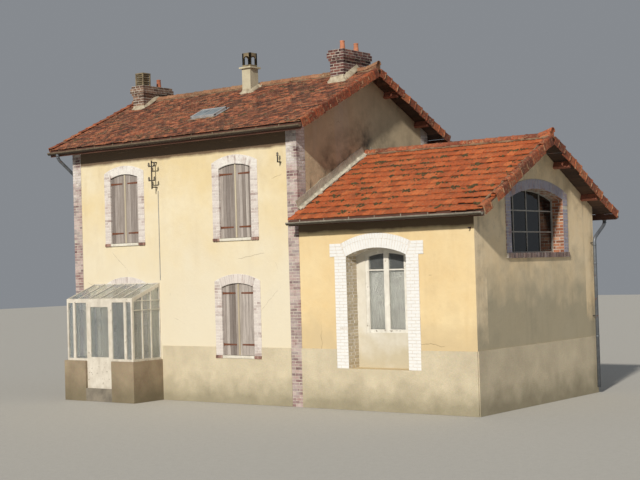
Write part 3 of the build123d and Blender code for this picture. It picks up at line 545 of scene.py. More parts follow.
def paneGlass(name, dirtAndShade):
    # old drawn glass: wavy and dusty, and in part open to light that falls straight through;
    # past a given x the panes turn dark and let no light through
    skin = Finish(name)
    skin.shader["IOR"].default_value = 1.5
    skin.shader["Transmission Weight"].default_value = dirtAndShade["clear"]
    skin.shader["Alpha"].default_value = dirtAndShade["open"]
    skin.colour = skin.mixed(skin.patches(3.0, 0.4, 0.75), dirtAndShade["glass"], dirtAndShade["dust"])
    if "darkFrom" in dirtAndShade:
        darkFrom = skin.ranged(skin.place(0), dirtAndShade["darkFrom"], dirtAndShade["darkFrom"] + 0.2)
        skin.lay(darkFrom, (34, 38, 40))
        skin.link(skin.ranged(darkFrom, 0.0, 1.0, dirtAndShade["open"], 1.0), skin.shader["Alpha"])
    return skin.done(0.06, skin.noise(skin.spot, 4.0, 2.0)[0], 0.12, 0.02)


def curtainCloth(name):
    # thin cotton: a plain weave on the cloth's own width and drop, greyed by dust at the foot
    skin = Finish(name)
    across, down = [skin.add("Attribute", attribute_name=key)["Fac"] for key in ("across", "down")]
    warp, weft = [skin.maths("SINE", skin.times(way, 2600.0)) for way in (across, down)]
    skin.colour = skin.mixed(skin.patches(4.0, 0.4, 0.75), (214, 212, 206), (186, 184, 178))
    skin.lay(skin.ranged(down, 0.7, 1.5, 0.0, 0.5), (168, 164, 154))
    skin.shader["Sheen Weight"].default_value = 0.2
    return skin.done(0.9, skin.times(warp, weft), 0.25, 0.0006)


# Finish of the roofs
def firedTile(name, clay):
    # clay tiles: batch tones, soot patches, lichen dots, moss in the laps and painted shade below
    # each lap
    skin = Finish(name)
    batch = skin.tones(clay, 0.45)
    skin.colour = batch[0]
    lap = skin.add("Attribute", attribute_name="lap")["Fac"]
    skin.lay(skin.patches(0.9, 0.4, 0.7), clay["aged"], clay["broad"])
    skin.lay(skin.patches(9.0, 0.42, 0.66), (58, 42, 36), clay["soot"])
    skin.lay(skin.patches(17.0, 0.5, 0.6), (64, 42, 36), clay["specks"])
    dot = skin.times(skin.patches(24.0, 0.55, 0.61), skin.patches(1.6, 0.36, 0.6))
    skin.lay(dot, (172, 158, 122), clay["lichen"])
    damp = skin.patches(3.4, clay["mossLow"], clay["mossLow"] + 0.1)
    moss = skin.times(damp, skin.ranged(lap, 0.5, 0.95))
    skin.lay(moss, (62, 54, 32), 0.85)
    # painted shade: each tile darkens just below the nose of the row above it
    skin.lay(skin.ranged(lap, 0.8, 1.0, 0.0, 0.35), (44, 30, 24))
    height = skin.maths("ADD", skin.grain(85.0, 1.4), skin.times(skin.maths("ADD", moss, dot), 1.5))
    return skin.done(skin.ranged(batch[1], 0.0, 1.0, 0.9, 0.8), height, 0.55, 0.004)


gableCoat = {"base": (188, 170, 140), "pale": (206, 188, 156), "worn": (168, 152, 126),
    "stain": (104, 94, 82), "low": (160, 148, 124), "streaks": 0.4, "blots": 0.25,
    "wet": (2.6, 3.9)}
hallGableCoat = {"base": (232, 208, 168), "pale": (242, 224, 192), "worn": (212, 194, 164),
    "stain": (112, 104, 90), "low": (166, 158, 136), "streaks": 0.8, "blots": 0.45,
    "wet": (2.4, 3.7)}
# the eaves height and the dark colour after it paint the shadow of the eaves on the front and back
# walls
yellowRender = limeRender("yellow render", {"base": (218, 200, 158), "pale": (223, 212, 184),
    "worn": (206, 190, 158), "stain": (176, 156, 122), "low": (216, 208, 188), "streaks": 0.5,
    "blots": 0.2, "wet": (2.8, 5.4), "eaves": 6.55, "dirtAndShade": (80, 56, 40)}, gableCoat)
hallRender = limeRender("hall render", {"base": (218, 192, 144), "pale": (224, 204, 162),
    "worn": (206, 184, 144), "stain": (166, 138, 98), "low": (200, 180, 142), "streaks": 0.5,
    "blots": 0.18, "wet": (1.6, 2.4), "eaves": 4.32, "dirtAndShade": (70, 52, 38)}, hallGableCoat)
gableRender = limeRender("gable render", gableCoat, splash={"ridge": 6.52, "slope": 0.527,
    "reach": 1.3, "mould": (40, 42, 42), "washed": (190, 180, 164)})
hallGableRender = limeRender("hall gable render", hallGableCoat)
creamRender = limeRender("cream chimney render", {"base": (188, 180, 154), "pale": (204, 198, 176),
    "worn": (160, 150, 126), "stain": (112, 104, 90), "low": (178, 170, 148), "streaks": 0.5,
    "blots": 0.4, "wet": (8.4, 8.8)})
infillRender = limeRender("infill render", {"base": (208, 203, 190), "pale": (218, 215, 206),
    "worn": (190, 184, 170), "stain": (150, 138, 116), "low": (186, 176, 150), "streaks": 0.3,
    "blots": 0.2, "wet": (1.2, 2.0)})
quoinSkin = brickSkin("quoin brick", {"tones": [(98, 70, 72), (134, 98, 98), (170, 136, 130)],
    "bloom": (184, 172, 172), "soot": 0.25}, {"patches": (2.4, 0.38, 0.60), "byBrick": 0.3,
    "fade": (5.2, 6.6), "keep": 0.42, "white": (216, 212, 208), "grey": (176, 168, 170)})
whiteSkin = brickSkin("limewashed brick", {"tones": [(138, 112, 108), (170, 148, 142),
    (196, 180, 174)], "bloom": (202, 194, 190), "soot": 0.10}, {"patches": (3.2, 0.30, 0.54),
    "byBrick": 0.45, "fade": (5.9, 6.3), "keep": 0.6, "white": (224, 221, 216),
    "grey": (200, 196, 196)})
hallSkin = brickSkin("hall brick", {"tones": [(178, 164, 138), (192, 178, 154), (202, 190, 166)],
    "bloom": (208, 200, 180), "soot": 0.08}, {"patches": (3.2, 0.08, 0.28), "byBrick": 0.4,
    "fade": (-1.0, 0.5), "keep": 1.0, "white": (226, 227, 227), "grey": (217, 217, 216),
    "looks": 1})
sillBrickSkin = brickSkin("sill end brick", {"tones": [(108, 78, 70), (138, 102, 92),
    (166, 132, 118)], "bloom": (184, 172, 166), "soot": 0.25})
# the limewash round the gable window is a darker blue-grey: painted shade of the skylit gable
gableBrickSkin = brickSkin("gable window brick", {"tones": [(122, 74, 52), (160, 102, 74),
    (190, 138, 106)], "bloom": (198, 184, 172), "soot": 0.25}, {"patches": (3.0, 0.28, 0.50),
    "byBrick": 0.35, "fade": (-1.0, 3.69), "keep": 0.95, "white": (164, 161, 176),
    "grey": (122, 120, 138), "looks": 0})
gableSillSkin = brickSkin("gable sill brick", {"tones": [(84, 66, 64), (108, 86, 82),
    (138, 114, 108)], "bloom": (184, 178, 182), "soot": 0.25})
stackSkin = brickSkin("stack brick", {"tones": [(58, 38, 40), (92, 56, 54), (126, 84, 74)],
    "bloom": (150, 134, 126), "soot": 0.5})
oldStackSkin = brickSkin("old stack brick", {"tones": [(76, 56, 46), (108, 80, 66), (138, 110, 92)],
    "bloom": (160, 146, 126), "soot": 0.45})
jointMortar = mortarSkin("brick joints", (204, 198, 186), (170, 162, 150))
paintedJoint = mortarSkin("painted joints", (226, 222, 216), (206, 200, 194))
beddingMortar = mortarSkin("bedding mortar", (206, 200, 184), (156, 148, 130), 3.0)
agedMortar = mortarSkin("aged ridge mortar", (146, 120, 94), (104, 80, 62), 2.0)
dabMortar = mortarSkin("verge dabs", (184, 148, 116), (132, 100, 76), 2.0)
skirtMortar = mortarSkin("chimney skirting", (192, 182, 160), (138, 124, 102), 3.0)
cementSkin = mortarSkin("cement skirting", (196, 190, 172), (158, 154, 140), 2.4)
concreteSkin = mortarSkin("cast concrete", (142, 128, 100), (92, 82, 66), 1.4)
plinthSkin = roughcast("roughcast", (192, 180, 156), (212, 200, 174))
sillStone = dressedStone("painted stone sill", (226, 222, 210), (196, 190, 176))
stepStone = dressedStone("worn stone", (172, 162, 144), (138, 130, 114))
floorSkin = dressedStone("floor screed", (140, 132, 118), (104, 98, 88))
porchRender = roughcast("porch roughcast", (134, 118, 98), (164, 148, 124))
shutterWood = weatheredWood("shutter boards", {"tones": [(118, 110, 106), (158, 149, 144),
    (192, 184, 178)], "fibre": (92, 80, 72), "stain": (98, 84, 68), "stains": 0.35}, 2)
stripWood = weatheredWood("pale cover strip", {"tones": [(164, 152, 130), (180, 168, 146),
    (194, 184, 162)], "fibre": (160, 148, 124), "stain": (130, 116, 92), "stains": 0.3}, 2)
roofWood = weatheredWood("roof boards", {"tones": [(58, 42, 34), (80, 58, 46), (102, 76, 60)],
    "fibre": (58, 44, 36), "stain": (50, 42, 36), "stains": 0.3}, 0)
fasciaWood = weatheredWood("fascia boards", {"tones": [(92, 58, 46), (114, 74, 58), (134, 94, 74)],
    "fibre": (66, 46, 38), "stain": (50, 42, 36), "stains": 0.3}, 0)
# painted light: the purlins' tones are lifted as if their ends stood in sun
beamWood = weatheredWood("purlins", {"tones": [(164, 100, 80), (188, 122, 98), (206, 144, 118)],
    "fibre": (66, 44, 36), "stain": (58, 46, 40), "stains": 0.35}, 0)
whitePaint = paintedWood("white paint", {"coat": (228, 226, 218), "dull": (206, 202, 192),
    "bare": (110, 100, 86), "flakeLow": 0.62, "gloss": 0.5})
porchPaint = paintedWood("flaking porch paint", {"coat": (216, 210, 198), "dull": (192, 184, 170),
    "bare": (120, 108, 92), "flakeLow": 0.63, "gloss": 0.6})
doorPaint = paintedWood("door paint", {"coat": (150, 142, 124), "dull": (130, 122, 106),
    "bare": (92, 80, 66), "flakeLow": 0.6, "gloss": 0.6})
darkIron = oldMetal("dark iron", {"base": (52, 50, 50), "dull": (74, 70, 66), "rust": 0.55,
    "gloss": 0.6, "metal": 0.4})
rustyIron = oldMetal("rusty iron", {"base": (126, 78, 58), "dull": (96, 64, 52), "rust": 0.7,
    "gloss": 0.8, "metal": 0.2})
greyIron = oldMetal("grey painted iron", {"base": (168, 166, 160), "dull": (140, 137, 130),
    "rust": 0.25, "gloss": 0.55, "metal": 0.0})
zincSkin = oldMetal("zinc", {"base": (132, 118, 96), "dull": (96, 84, 66), "rust": 0.35,
    "gloss": 0.65, "metal": 0.1, "under": (56, 44, 34)})
hallZinc = oldMetal("pale zinc", {"base": (166, 160, 146), "dull": (116, 110, 98), "rust": 0.25,
    "gloss": 0.55, "metal": 0.1, "under": (58, 50, 42)})
pipeSkin = oldMetal("zinc pipe", {"base": (112, 118, 126), "dull": (94, 98, 104), "rust": 0.42,
    "gloss": 0.5, "metal": 0.4})
leadSkin = oldMetal("skylight frame sheet", {"base": (190, 190, 190), "dull": (150, 150, 152),
    "rust": 0.1, "gloss": 0.5, "metal": 0.2})
porcelain = oldMetal("insulator glaze", {"base": (112, 106, 96), "dull": (84, 78, 70), "rust": 0.2,
    "gloss": 0.25, "metal": 0.0})
hallGlass = paneGlass("window glass", {"clear": 0.8, "glass": (0.62, 0.66, 0.66, 1),
    "dust": (0.46, 0.49, 0.48, 1), "open": 0.45, "darkFrom": 8.5})
porchGlass = paneGlass("porch glass", {"clear": 0.85, "glass": (0.66, 0.74, 0.78, 1),
    "dust": (0.56, 0.62, 0.66, 1), "open": 0.55})
skyGlass = paneGlass("skylight glass", {"clear": 0.1, "glass": (0.13, 0.16, 0.18, 1),
    "dust": (0.34, 0.40, 0.43, 1), "open": 1.0})
oldTile = firedTile("weathered tiles", {"tones": [(78, 46, 38), (138, 80, 58), (198, 120, 84)],
    "aged": (124, 96, 74), "broad": 0.3, "soot": 0.35, "specks": 0.6, "lichen": 0.8,
    "mossLow": 0.55})
orangeTile = firedTile("orange tiles", {"tones": [(156, 78, 40), (184, 92, 46), (206, 116, 64)],
    "aged": (154, 86, 52), "broad": 0.2, "soot": 0.2, "specks": 0.25, "lichen": 0.4,
    "mossLow": 0.46})
vergeTile = firedTile("verge tiles", {"tones": [(112, 54, 36), (162, 82, 50), (202, 116, 72)],
    "aged": (132, 96, 70), "broad": 0.25, "soot": 0.5, "specks": 0.5, "lichen": 0.7,
    "mossLow": 0.6})
ridgeTile = firedTile("ridge tiles", {"tones": [(118, 74, 52), (148, 98, 70), (172, 124, 92)],
    "aged": (142, 118, 90), "broad": 0.6, "soot": 0.3, "specks": 0.35, "lichen": 0.8,
    "mossLow": 0.6})
potClay = firedTile("pot clay", {"tones": [(150, 80, 54), (180, 104, 72), (202, 132, 98)],
    "aged": (150, 104, 80), "broad": 0.3, "soot": 0.3, "specks": 0.2, "lichen": 0.2,
    "mossLow": 0.8})
mossSkin = mortarSkin("moss cushions", (84, 74, 40), (48, 40, 26), 3.0)
cottonCloth = curtainCloth("curtain cotton")
print("finishes made")


# CAD nodes that keep their own shape
def dress(material, *nodes):
    # the material goes on the object, and the mesh stays as the source made it
    for node in nodes:
        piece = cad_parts[node]
        for slot in piece.material_slots:
            slot.link = "OBJECT"
            slot.material = material
        if not piece.material_slots:
            piece.data.materials.append(material)


dress(yellowRender, "main_front_wall", "main_back_wall")
dress(hallRender, "annex_front_wall", "annex_back_wall")
dress(gableRender, "main_left_gable", "main_right_gable")
dress(hallGableRender, "annex_gable")
dress(infillRender, "annex_infills")
dress(creamRender, "mid_chimney")
dress(jointMortar, "front_quoins", "back_quoins", "gable_window_surround", "left_chimney",
      "right_chimney")
dress(paintedJoint, "front_surrounds", "back_surrounds", "annex_surrounds")
dress(plinthSkin, "plinth")
dress(porchRender, "porch_wall")
dress(stepStone, "door_steps")
dress(floorSkin, "ground_floor", "upper_floor", "annex_floor", "porch_floor")
dress(beamWood, "main_purlins", "annex_purlins")
dress(whitePaint, "annex_windows")
dress(greyIron, "gable_window_frame", "service_conduit")
dress(porchPaint, "porch_frame", "porch_door", "porch_roof_bars")
dress(hallGlass, "window_glass")
dress(porchGlass, "porch_glass")
dress(darkIron, "pipe_clips")
dress(fasciaWood, "fascias")

# Where the blocks stand, read from the frame
wallLow, wallHigh = span("main_front_wall")
house = {"left": wallLow[0], "right": wallHigh[0], "front": wallLow[1],
         "back": span("main_back_wall")[1][1], "end": span("annex_gable")[1][0]}
opening = {"half": 0.55, "rise": 0.10, "band": 0.24, "proud": 0.012, "upperSill": 4.31,
           "upperSpring": 6.14, "lowerSill": 1.25, "lowerSpring": 3.03, "doorFoot": 0.35}
hallArch = {"centre": house["right"] + 2.33, "half": 0.88, "rise": 0.19, "foot": 1.0,
            "spring": 3.72, "band": 0.35, "ring": 0.225, "impost": 0.14, "impostRise": 0.32,
            "reveal": 0.42, "paintedJoint": 0.0085}
gableArch = {"half": 1.325, "rise": 0.24, "sill": 3.68, "spring": 5.0, "band": 0.24,
             "reveal": 0.30, "sillRise": 0.12, "sillNose": 0.045}
shutterLow, shutterHigh = span("front_shutters")
openingX = [shutterLow[0] + opening["half"], shutterHigh[0] - opening["half"]]
walls = ((-1, house["front"]), (1, house["back"]))
sideNames = {-1: "front", 1: "back"}


class Slope:
    # one slope of a roof; places on it are given by x, the run down from the ridge and the
    # square height above the tiles
    def __init__(self, node, side, pitch):
        low, high = span(node)
        angle = math.radians(pitch)
        self.x0, self.x1, self.ridge, self.side = low[0], high[0], high[2], side
        self.sine, self.cosine = math.sin(angle), math.cos(angle)
        self.length = max(abs(low[1]), abs(high[1])) / self.cosine

    def at(self, x, run, above):
        return stacked(x, self.side * (run * self.cosine + above * self.sine),
                       self.ridge - run * self.sine + above * self.cosine)

    def laid(self, points):
        # the same for a grid of x, run and height
        return self.at(*np.moveaxis(points, -1, 0))

    def axes(self):
        # unit arrows along x, down the slope and square to it
        return np.array([[1.0, 0, 0], [0, self.side * self.cosine, -self.sine],
                         [0, self.side * self.sine, self.cosine]])


pitches = {"main": 25.5, "annex": 27.8}
slopes = {(block, side): Slope(f"{block}_tiles_{name}", side, pitches[block])
          for block in pitches for side, name in ((-1, "front"), (1, "back"))}
skylight = {"centre": house["left"] + 4.5, "run": 2.25, "width": 0.90, "height": 0.56,
            "frame": 0.05, "upstand": 0.07, "glassTop": 0.058, "glass": 0.006, "lead": 0.035}

# Roof tiles: interlocking ones on the hall, small flat ones on the taller block
hallTiling = {"rows": 12, "width": 0.2073, "overlap": 0.04, "nose": 0.022, "thin": 0.010,
              "tilt": 0.083, "sink": 0.020, "roll": 0.019, "rib": 0.009, "lip": 0.006, "shift": 0.0,
              "twist": 0.006, "lean": 0.004, "slips": 0.03, "slipped": 0.05, "batch": 3.0,
              "worn": 1.2}
houseTiling = {"rows": 36, "width": 0.17, "overlap": 0.05, "thickness": 0.014, "camber": 0.004,
               "gap": 0.005, "sink": 0.008, "shift": 0.5, "twist": 0.014, "lean": 0.003,
               "slips": 0.03, "slipped": 0.04, "batch": 0.8}


def hump(across, middle, reach):
    # a rounded ridge: a squared cosine inside its reach, and nothing outside
    near = np.clip(np.abs(across - middle) / reach, 0, 1)
    return np.cos(near * math.pi / 2) ** 2


def interlockingTile(width, gauge):
    # in x, run and height: a roll on one side, a rib in the middle, a lip, and a thick nose
    kind = hallTiling
    across = np.array([0, 0.035, 0.08, 0.125, 0.17, 0.43, 0.465, 0.5, 0.535, 0.57, 0.88, 0.94, 1.0])
    under = np.array([1.0, 0.62, 0.3, 0.0])
    crown = (kind["roll"] * hump(across, 0.08, 0.09) + kind["rib"] * hump(across, 0.5, 0.07)
             + kind["lip"] * hump(across, 0.94, 0.06))
    length = gauge + kind["overlap"]
    up = np.array([[0.0], [0.012], [0.6], [1.0]]) * length
    lift = np.array([[-0.004], [0.0], [0.0], [0.0]])
    thick = np.interp(up, [0.0, 0.05, length], [kind["nose"], kind["nose"], kind["thin"]])
    height = np.hstack([crown + lift, np.repeat(-thick, len(under), axis=1)])
    sections = stacked(np.append(across, under) * width * 1.045, -up, height - kind["tilt"] * up)
    return loft(sections), np.repeat(up / gauge, sections.shape[1])


def flatTile(width, gauge):
    # in x, run and height: a little rounded across, and tilted by its own thickness to a row
    kind = houseTiling
    across = np.array([0, 0.25, 0.5, 0.75, 1.0])
    up = np.array([[0.0], [gauge + kind["overlap"]]])
    height = np.append(kind["camber"] * (1 - (2 * across - 1) ** 2), [-kind["thickness"]] * 2)
    sections = stacked(np.append(across, [1.0, 0.0]) * (width - kind["gap"]), -up,
                       height - kind["thickness"] * up / gauge)
    return loft(sections), np.repeat(up / gauge, sections.shape[1])


def pushedClear(points, block):
    # tiles that cross a rectangle in x and run are cut back to the side they lie on
    low, high = points.min(axis=1), points.max(axis=1)
    crossing = ((high[:, 0] > block[0]) & (low[:, 0] < block[1])
                & (high[:, 1] > block[2]) & (low[:, 1] < block[3]))
    beyond = np.stack([block[0] - low[:, 0], high[:, 0] - block[1],
                       block[2] - low[:, 1], high[:, 1] - block[3]], axis=1)
    best = beyond.argmax(axis=1)
    for choice, limit in enumerate(block):
        chosen, axis = crossing & (best == choice), choice // 2
        clip = np.maximum if choice % 2 else np.minimum
        points[chosen, :, axis] = clip(points[chosen, :, axis], limit)
    return points, ~(crossing & (beyond.max(axis=1) < 0.01))


def layTiles(slope, kind, makeTile, seed, blocks=(), worn=0.0):
    # one tile repeated over rows and columns, each turned, lifted and slipped a little; worn is
    # the length of eaves by the right end where the lowest tiles have come loose
    local = np.random.default_rng(seed)
    gauge = slope.length / kind["rows"]
    columns = round((slope.x1 - slope.x0) / kind["width"])
    width = (slope.x1 - slope.x0) / columns
    (unit, faces), lap = makeTile(width, gauge)
    row, column = np.meshgrid(np.arange(kind["rows"]), np.arange(columns + 1), indexing="ij")
    row, column = row.ravel(), column.ravel()
    start = slope.x0 + (column - kind["shift"] * (row % 2)) * width
    row, start = row[start < slope.x1 - 0.03], start[start < slope.x1 - 0.03]
    count = len(row)
    loose = (row < 3) & (start > slope.x1 - worn)
    twist = (local.normal(0, kind["twist"], count) * (1 + 7 * loose))[:, None]
    lean = local.normal(0, kind["lean"], count) + 0.008 * loose
    slipping = local.random(count) < kind["slips"]
    slip = np.where(slipping, local.uniform(0.3, 1, count) * kind["slipped"], 0.0)
    slip += local.normal(0, 0.003, count) + loose * local.uniform(-0.01, 0.05, count)
    x = start[:, None] + unit[:, 0] - twist * unit[:, 1]
    run = (slope.length - row * gauge + slip)[:, None] + unit[:, 1] + twist * unit[:, 0]
    above = (unit[:, 2] - kind["sink"] + (lean + 0.004 * (slip > 0.012))[:, None]
             * (1 - 2 * lap / lap.max()) + local.normal(0, 0.0012, count)[:, None])
    points = stacked(np.clip(x, slope.x0, slope.x1), np.maximum(run, 0.015), above)
    kept = np.ones(count, bool)
    for block in blocks:
        points, clear = pushedClear(points, block)
        kept &= clear
    points = points[kept]
    count = len(points)
    tone = local.beta(kind["batch"], kind["batch"], count)
    placed, faces = outward(slope.laid(points).reshape(-1, 3), repeated(faces, len(unit), count))
    return (placed, faces, np.repeat(tone, len(unit))), np.tile(lap, count)


moss = {"spread": 0.06, "small": 0.014, "large": 0.036, "wide": 1.1, "nearLap": 2.5, "reach": 0.6,
        "dome": [(1.0, -0.4), (1.0, 0.2), (0.8, 0.7), (0.4, 0.97), (0.1, 1.0)]}


def mossCushions(slope, rows, clusters, base, height, seed):
    # flattened domes in clusters that follow the laps between the rows
    local = np.random.default_rng(seed)
    gauge = slope.length / rows
    size = np.rint(local.lognormal(1.5, 0.7, clusters)).clip(1, 18).astype(int)
    count = size.sum()
    x = np.repeat(local.uniform(slope.x0 + 0.25, slope.x1 - 0.25, clusters), size)
    x = x + local.normal(0, moss["spread"], count)
    x = np.clip(x, slope.x0 + 0.05, slope.x1 - 0.05)[:, None]
    run = np.repeat(slope.length - gauge * local.integers(1, rows - 1, clusters), size)
    run = (run + gauge * local.uniform(0.0, 1.0, count) ** moss["nearLap"] * moss["reach"])[:, None]
    radius = np.repeat(local.uniform(0.6, 1.3, clusters), size)
    radius = (radius * local.uniform(moss["small"], moss["large"], count))[:, None]
    unit, faces = turned(moss["dome"], (0, 0, 0), 9)
    points = slope.at(x + moss["wide"] * radius * unit[:, 0], run + radius * unit[:, 1],
                      base + height * (radius / moss["large"]) * unit[:, 2])
    return outward(points.reshape(-1, 3), repeated(faces, len(unit), count))


hole = (skylight["centre"] - skylight["width"] / 2, skylight["centre"] + skylight["width"] / 2,
        skylight["run"] - skylight["height"] / 2, skylight["run"] + skylight["height"] / 2)
cushions = []
for (block, side), slope in slopes.items():
    name, front = sideNames[side], side < 0
    if block == "main":
        shape, lap = layTiles(slope, houseTiling, flatTile, 21 + side, [hole] if front else [])
        skin, slotName = oldTile, "old_tiles"
        cushions.append(mossCushions(slope, houseTiling["rows"], 45, -0.016, 0.016, 121 + side))
    else:
        shape, lap = layTiles(slope, hallTiling, interlockingTile, 46 + side, (),
                              hallTiling["worn"] if front else 0.0)
        skin, slotName = orangeTile, "orange_tiles"
        cushions.append(mossCushions(slope, hallTiling["rows"], 120 if front else 70, -0.040, 0.034,
                                     131 + side))
    addPiece(f"{block}_roof_tiles_{name}", shape, skin, slotName, [f"{block}_tiles_{name}"],
             lap=lap)
addPiece("moss_cushions", joined(cushions), mossSkin, "old_tiles", smooth=True)
print("roof tiles laid")

# Ridge tiles on mortar, and verge tiles stepped row by row
ridge = {"radius": 0.115, "rise": 0.025, "wall": 0.016, "pitch": 0.37, "lap": 0.05,
         "collar": 0.009, "bed": 0.034, "tipped": 0.12}


def ridgeCentre(slope):
    # height of the ridge tiles' axis, which lies a little above the slopes at their own radius
    return slope.ridge + ridge["rise"] - ridge["radius"] * slope.sine / slope.cosine


def uneven(size, amount, distance, seed, least):
    # a size that wanders along a path, and is never below its least share
    return size * (1 + amount * ripple(distance, seed)).clip(least)


def mortarFillet(base, out, up, width, height):
    # a wedge of mortar along a path: tall at its base, thin at its rounded outer edge
    width, height = width[:, None], height[:, None]
    loop = [base - 0.02 * up, base + height * up, base + 0.45 * width * out + 0.8 * height * up,
            base + 0.85 * width * out + 0.3 * height * up, base + width * out - 0.02 * up]
    return loft(np.stack(loop, axis=1))


def layRidge(slope, seed):
    # half rings with a collar that swells, one after another; the last one is tipped up
    local = np.random.default_rng(seed)
    count = round((slope.x1 - slope.x0) / ridge["pitch"])
    pitch = (slope.x1 - slope.x0) / count
    angles = np.linspace(0, math.pi, 13)
    angles = np.concatenate([angles, angles[::-1]])
    along = np.array([0.0, 0.008, 0.03, 0.045, 0.06, pitch + ridge["lap"]])
    swell = np.array([0.6, 1.0, 1.0, 0.75, 0.1, -0.7]) * ridge["collar"]
    radius = (ridge["radius"] - 0.004 + swell)[:, None] - ridge["wall"] * (np.arange(26) > 12)
    parts = []
    for index in range(count):
        start = slope.x0 + index * pitch
        reach = np.minimum(start + along, slope.x1)[:, None]
        y = radius * np.cos(angles) + local.normal(0, 0.003)
        z = ridgeCentre(slope) + radius * np.sin(angles) + local.normal(0, 0.002)
        if index == count - 1:
            z = z + ridge["tipped"] * (reach - start) / pitch
        points, faces = loft(stacked(reach, y, z))
        parts.append((points, faces, np.full(len(points), local.beta(2, 2))))
    return joined(parts)


def ridgeEnd(slope):
    # what fills the space below the tipped last tile: half round above, straight below
    centre, radius = ridgeCentre(slope), ridge["radius"] - ridge["wall"]
    angles = np.linspace(0, math.pi, 13)
    arch = centre + radius * np.sin(angles) + np.array([[0.0], [ridge["tipped"]]])
    return loft(stacked([[slope.x1 - ridge["pitch"]], [slope.x1 - 0.03]],
                        np.append(radius * np.cos(angles), [-radius, radius]),
                        np.hstack([arch, np.full((2, 2), centre - 0.03)])))


def ridgeBed(block, seed):
    # an uneven fillet of mortar along each foot of the ridge tiles
    x = np.linspace(slopes[block, 1].x0 + 0.02, slopes[block, 1].x1 - 0.02, 220)
    parts = []
    for side in (-1, 1):
        slope = slopes[block, side]
        axes = slope.axes()
        parts.append(mortarFillet(slope.at(x, 0.095, 0.0), axes[1], axes[2],
                                  uneven(ridge["bed"], 0.9, x * 3, seed + side, 0.1),
                                  uneven(0.020, 0.9, x * 5, seed + 7 + side, 0.05)))
    return joined(parts)


verge = {"rows": 12, "flange": 0.13, "skirt": 0.205, "outer": 0.024, "wall": 0.012, "lap": 0.05,
         "collar": 0.011}


def layVerge(slope, xEnd, away, seed, missing=(), wild=0.0):
    # an L in section, one to each row of tiles, its nose over the head of the one below
    local = np.random.default_rng(seed)
    gauge = slope.length / verge["rows"]
    length = gauge + verge["lap"]
    w, f, s, o = verge["wall"], verge["flange"], verge["skirt"], verge["outer"]
    loopX, loopZ = np.array([
        (-f, 0.004), (-f, 0.012), (-0.085, 0.022), (-0.05, 0.036), (-0.015, 0.036),
        (o - 0.010, 0.020), (o, -0.006), (o, -0.08), (o + 0.001, -s), (o + 0.001 - w, -s),
        (o - w, -0.02), (0.0, 0.006), (-0.05, 0.006)]).T
    up = np.array([0.0, 0.006, 0.036, 0.046, 0.5 * length, length])[:, None]
    grow = (np.array([0.7, 1.0, 1.0, 0.2, 0.0, -0.2]) * verge["collar"])[:, None]
    parts = []
    for row in range(verge["rows"]):
        if row in missing:
            continue
        shake = local.normal(0, 1.0, 4) * (1 + (1 + wild * 2) * (local.random() < 0.5))
        x = xEnd + away * (loopX + grow * np.sign(loopX)) + 0.004 * shake[0] * up
        run = np.maximum(slope.length - row * gauge - up + 0.006 * max(shake[1], -1.0), 0.10)
        above = (loopZ + 0.012 - 0.045 * up + grow
                 + 0.003 * shake[2] + 0.03 * shake[3] * (loopX + 0.05) * 0.3)
        points, faces = loft(slope.at(x, run, above))
        parts.append((points, faces, np.full(len(points), local.beta(2, 2))))
    return parts


def vergeBed(slope, xEnd, away, seed):
    # an uneven fillet of mortar along the inner edge of the verge tiles
    run = np.linspace(0.15, slope.length - 0.03, 140)
    axes = slope.axes()
    base = slope.at(xEnd - away * (verge["flange"] - 0.03), run, 0.0)
    return mortarFillet(base, -away * axes[0], axes[2], uneven(0.055, 0.9, run * 4, seed, 0.15),
                        uneven(0.016, 0.9, run * 5, seed + 3, 0.05))


def lapDabs(slope, xEnd, away, seed):
    # a dab of mortar on the skirts, below most of the laps
    local = np.random.default_rng(seed)
    row = np.flatnonzero(local.random(verge["rows"]) < 0.8)
    count = len(row)
    run = slope.length * (1 - row / verge["rows"]) + local.normal(-0.012, 0.006, count)
    centres = slope.at(xEnd + away * (verge["outer"] + 0.004), run,
                       local.uniform(-0.13, -0.05, count))
    sizes = local.uniform((0.020, 0.016, 0.06), (0.030, 0.030, 0.16), (count, 3))
    return outward(*boxes(centres, sizes, slope.axes()))


for name, block, seed, skin, slotName in (("main", "main", 31, ridgeTile, "old_tiles"),
                                          ("hall", "annex", 32, vergeTile, "orange_tiles")):
    caps = joined([layRidge(slopes[block, -1], seed), ridgeEnd(slopes[block, 1])])
    addPiece(f"{name}_ridge_caps", caps, skin, slotName, [f"{block}_ridge_tiles"])
addPiece("ridge_bedding", joined([ridgeBed("main", 41), ridgeBed("annex", 51)]), agedMortar,
         "cream_render")
mainVerges, hallVerges, vergeBeds, dabs = [], [], [], []
for side in (-1, 1):
    slope = slopes["main", side]
    for xEnd, away in ((slope.x0, -1), (slope.x1, 1)):
        mainVerges += layVerge(slope, xEnd, away, 61 + side + 4 * away)
        dabs.append(lapDabs(slope, xEnd, away, 171 + side + 4 * away))
    vergeBeds.append(vergeBed(slope, slope.x1, 1, 75 + side))
    slope = slopes["annex", side]
    dabs.append(lapDabs(slope, slope.x1, 1, 191 + side))
    hallVerges += layVerge(slope, slope.x1, 1, 81 + side, (1,) if side < 0 else (), 1.0)
    vergeBeds.append(vergeBed(slope, slope.x1, 1, 91 + side))
addPiece("main_verge_caps", joined(mainVerges), vergeTile, "old_tiles", ["main_verge_tiles"])
addPiece("hall_verge_caps", joined(hallVerges), vergeTile, "orange_tiles", ["annex_verge_tiles"])
addPiece("verge_bedding", joined(vergeBeds), agedMortar, "cream_render")
addPiece("verge_dabs", joined(dabs), dabMortar, "cream_render", bevel=0.004)

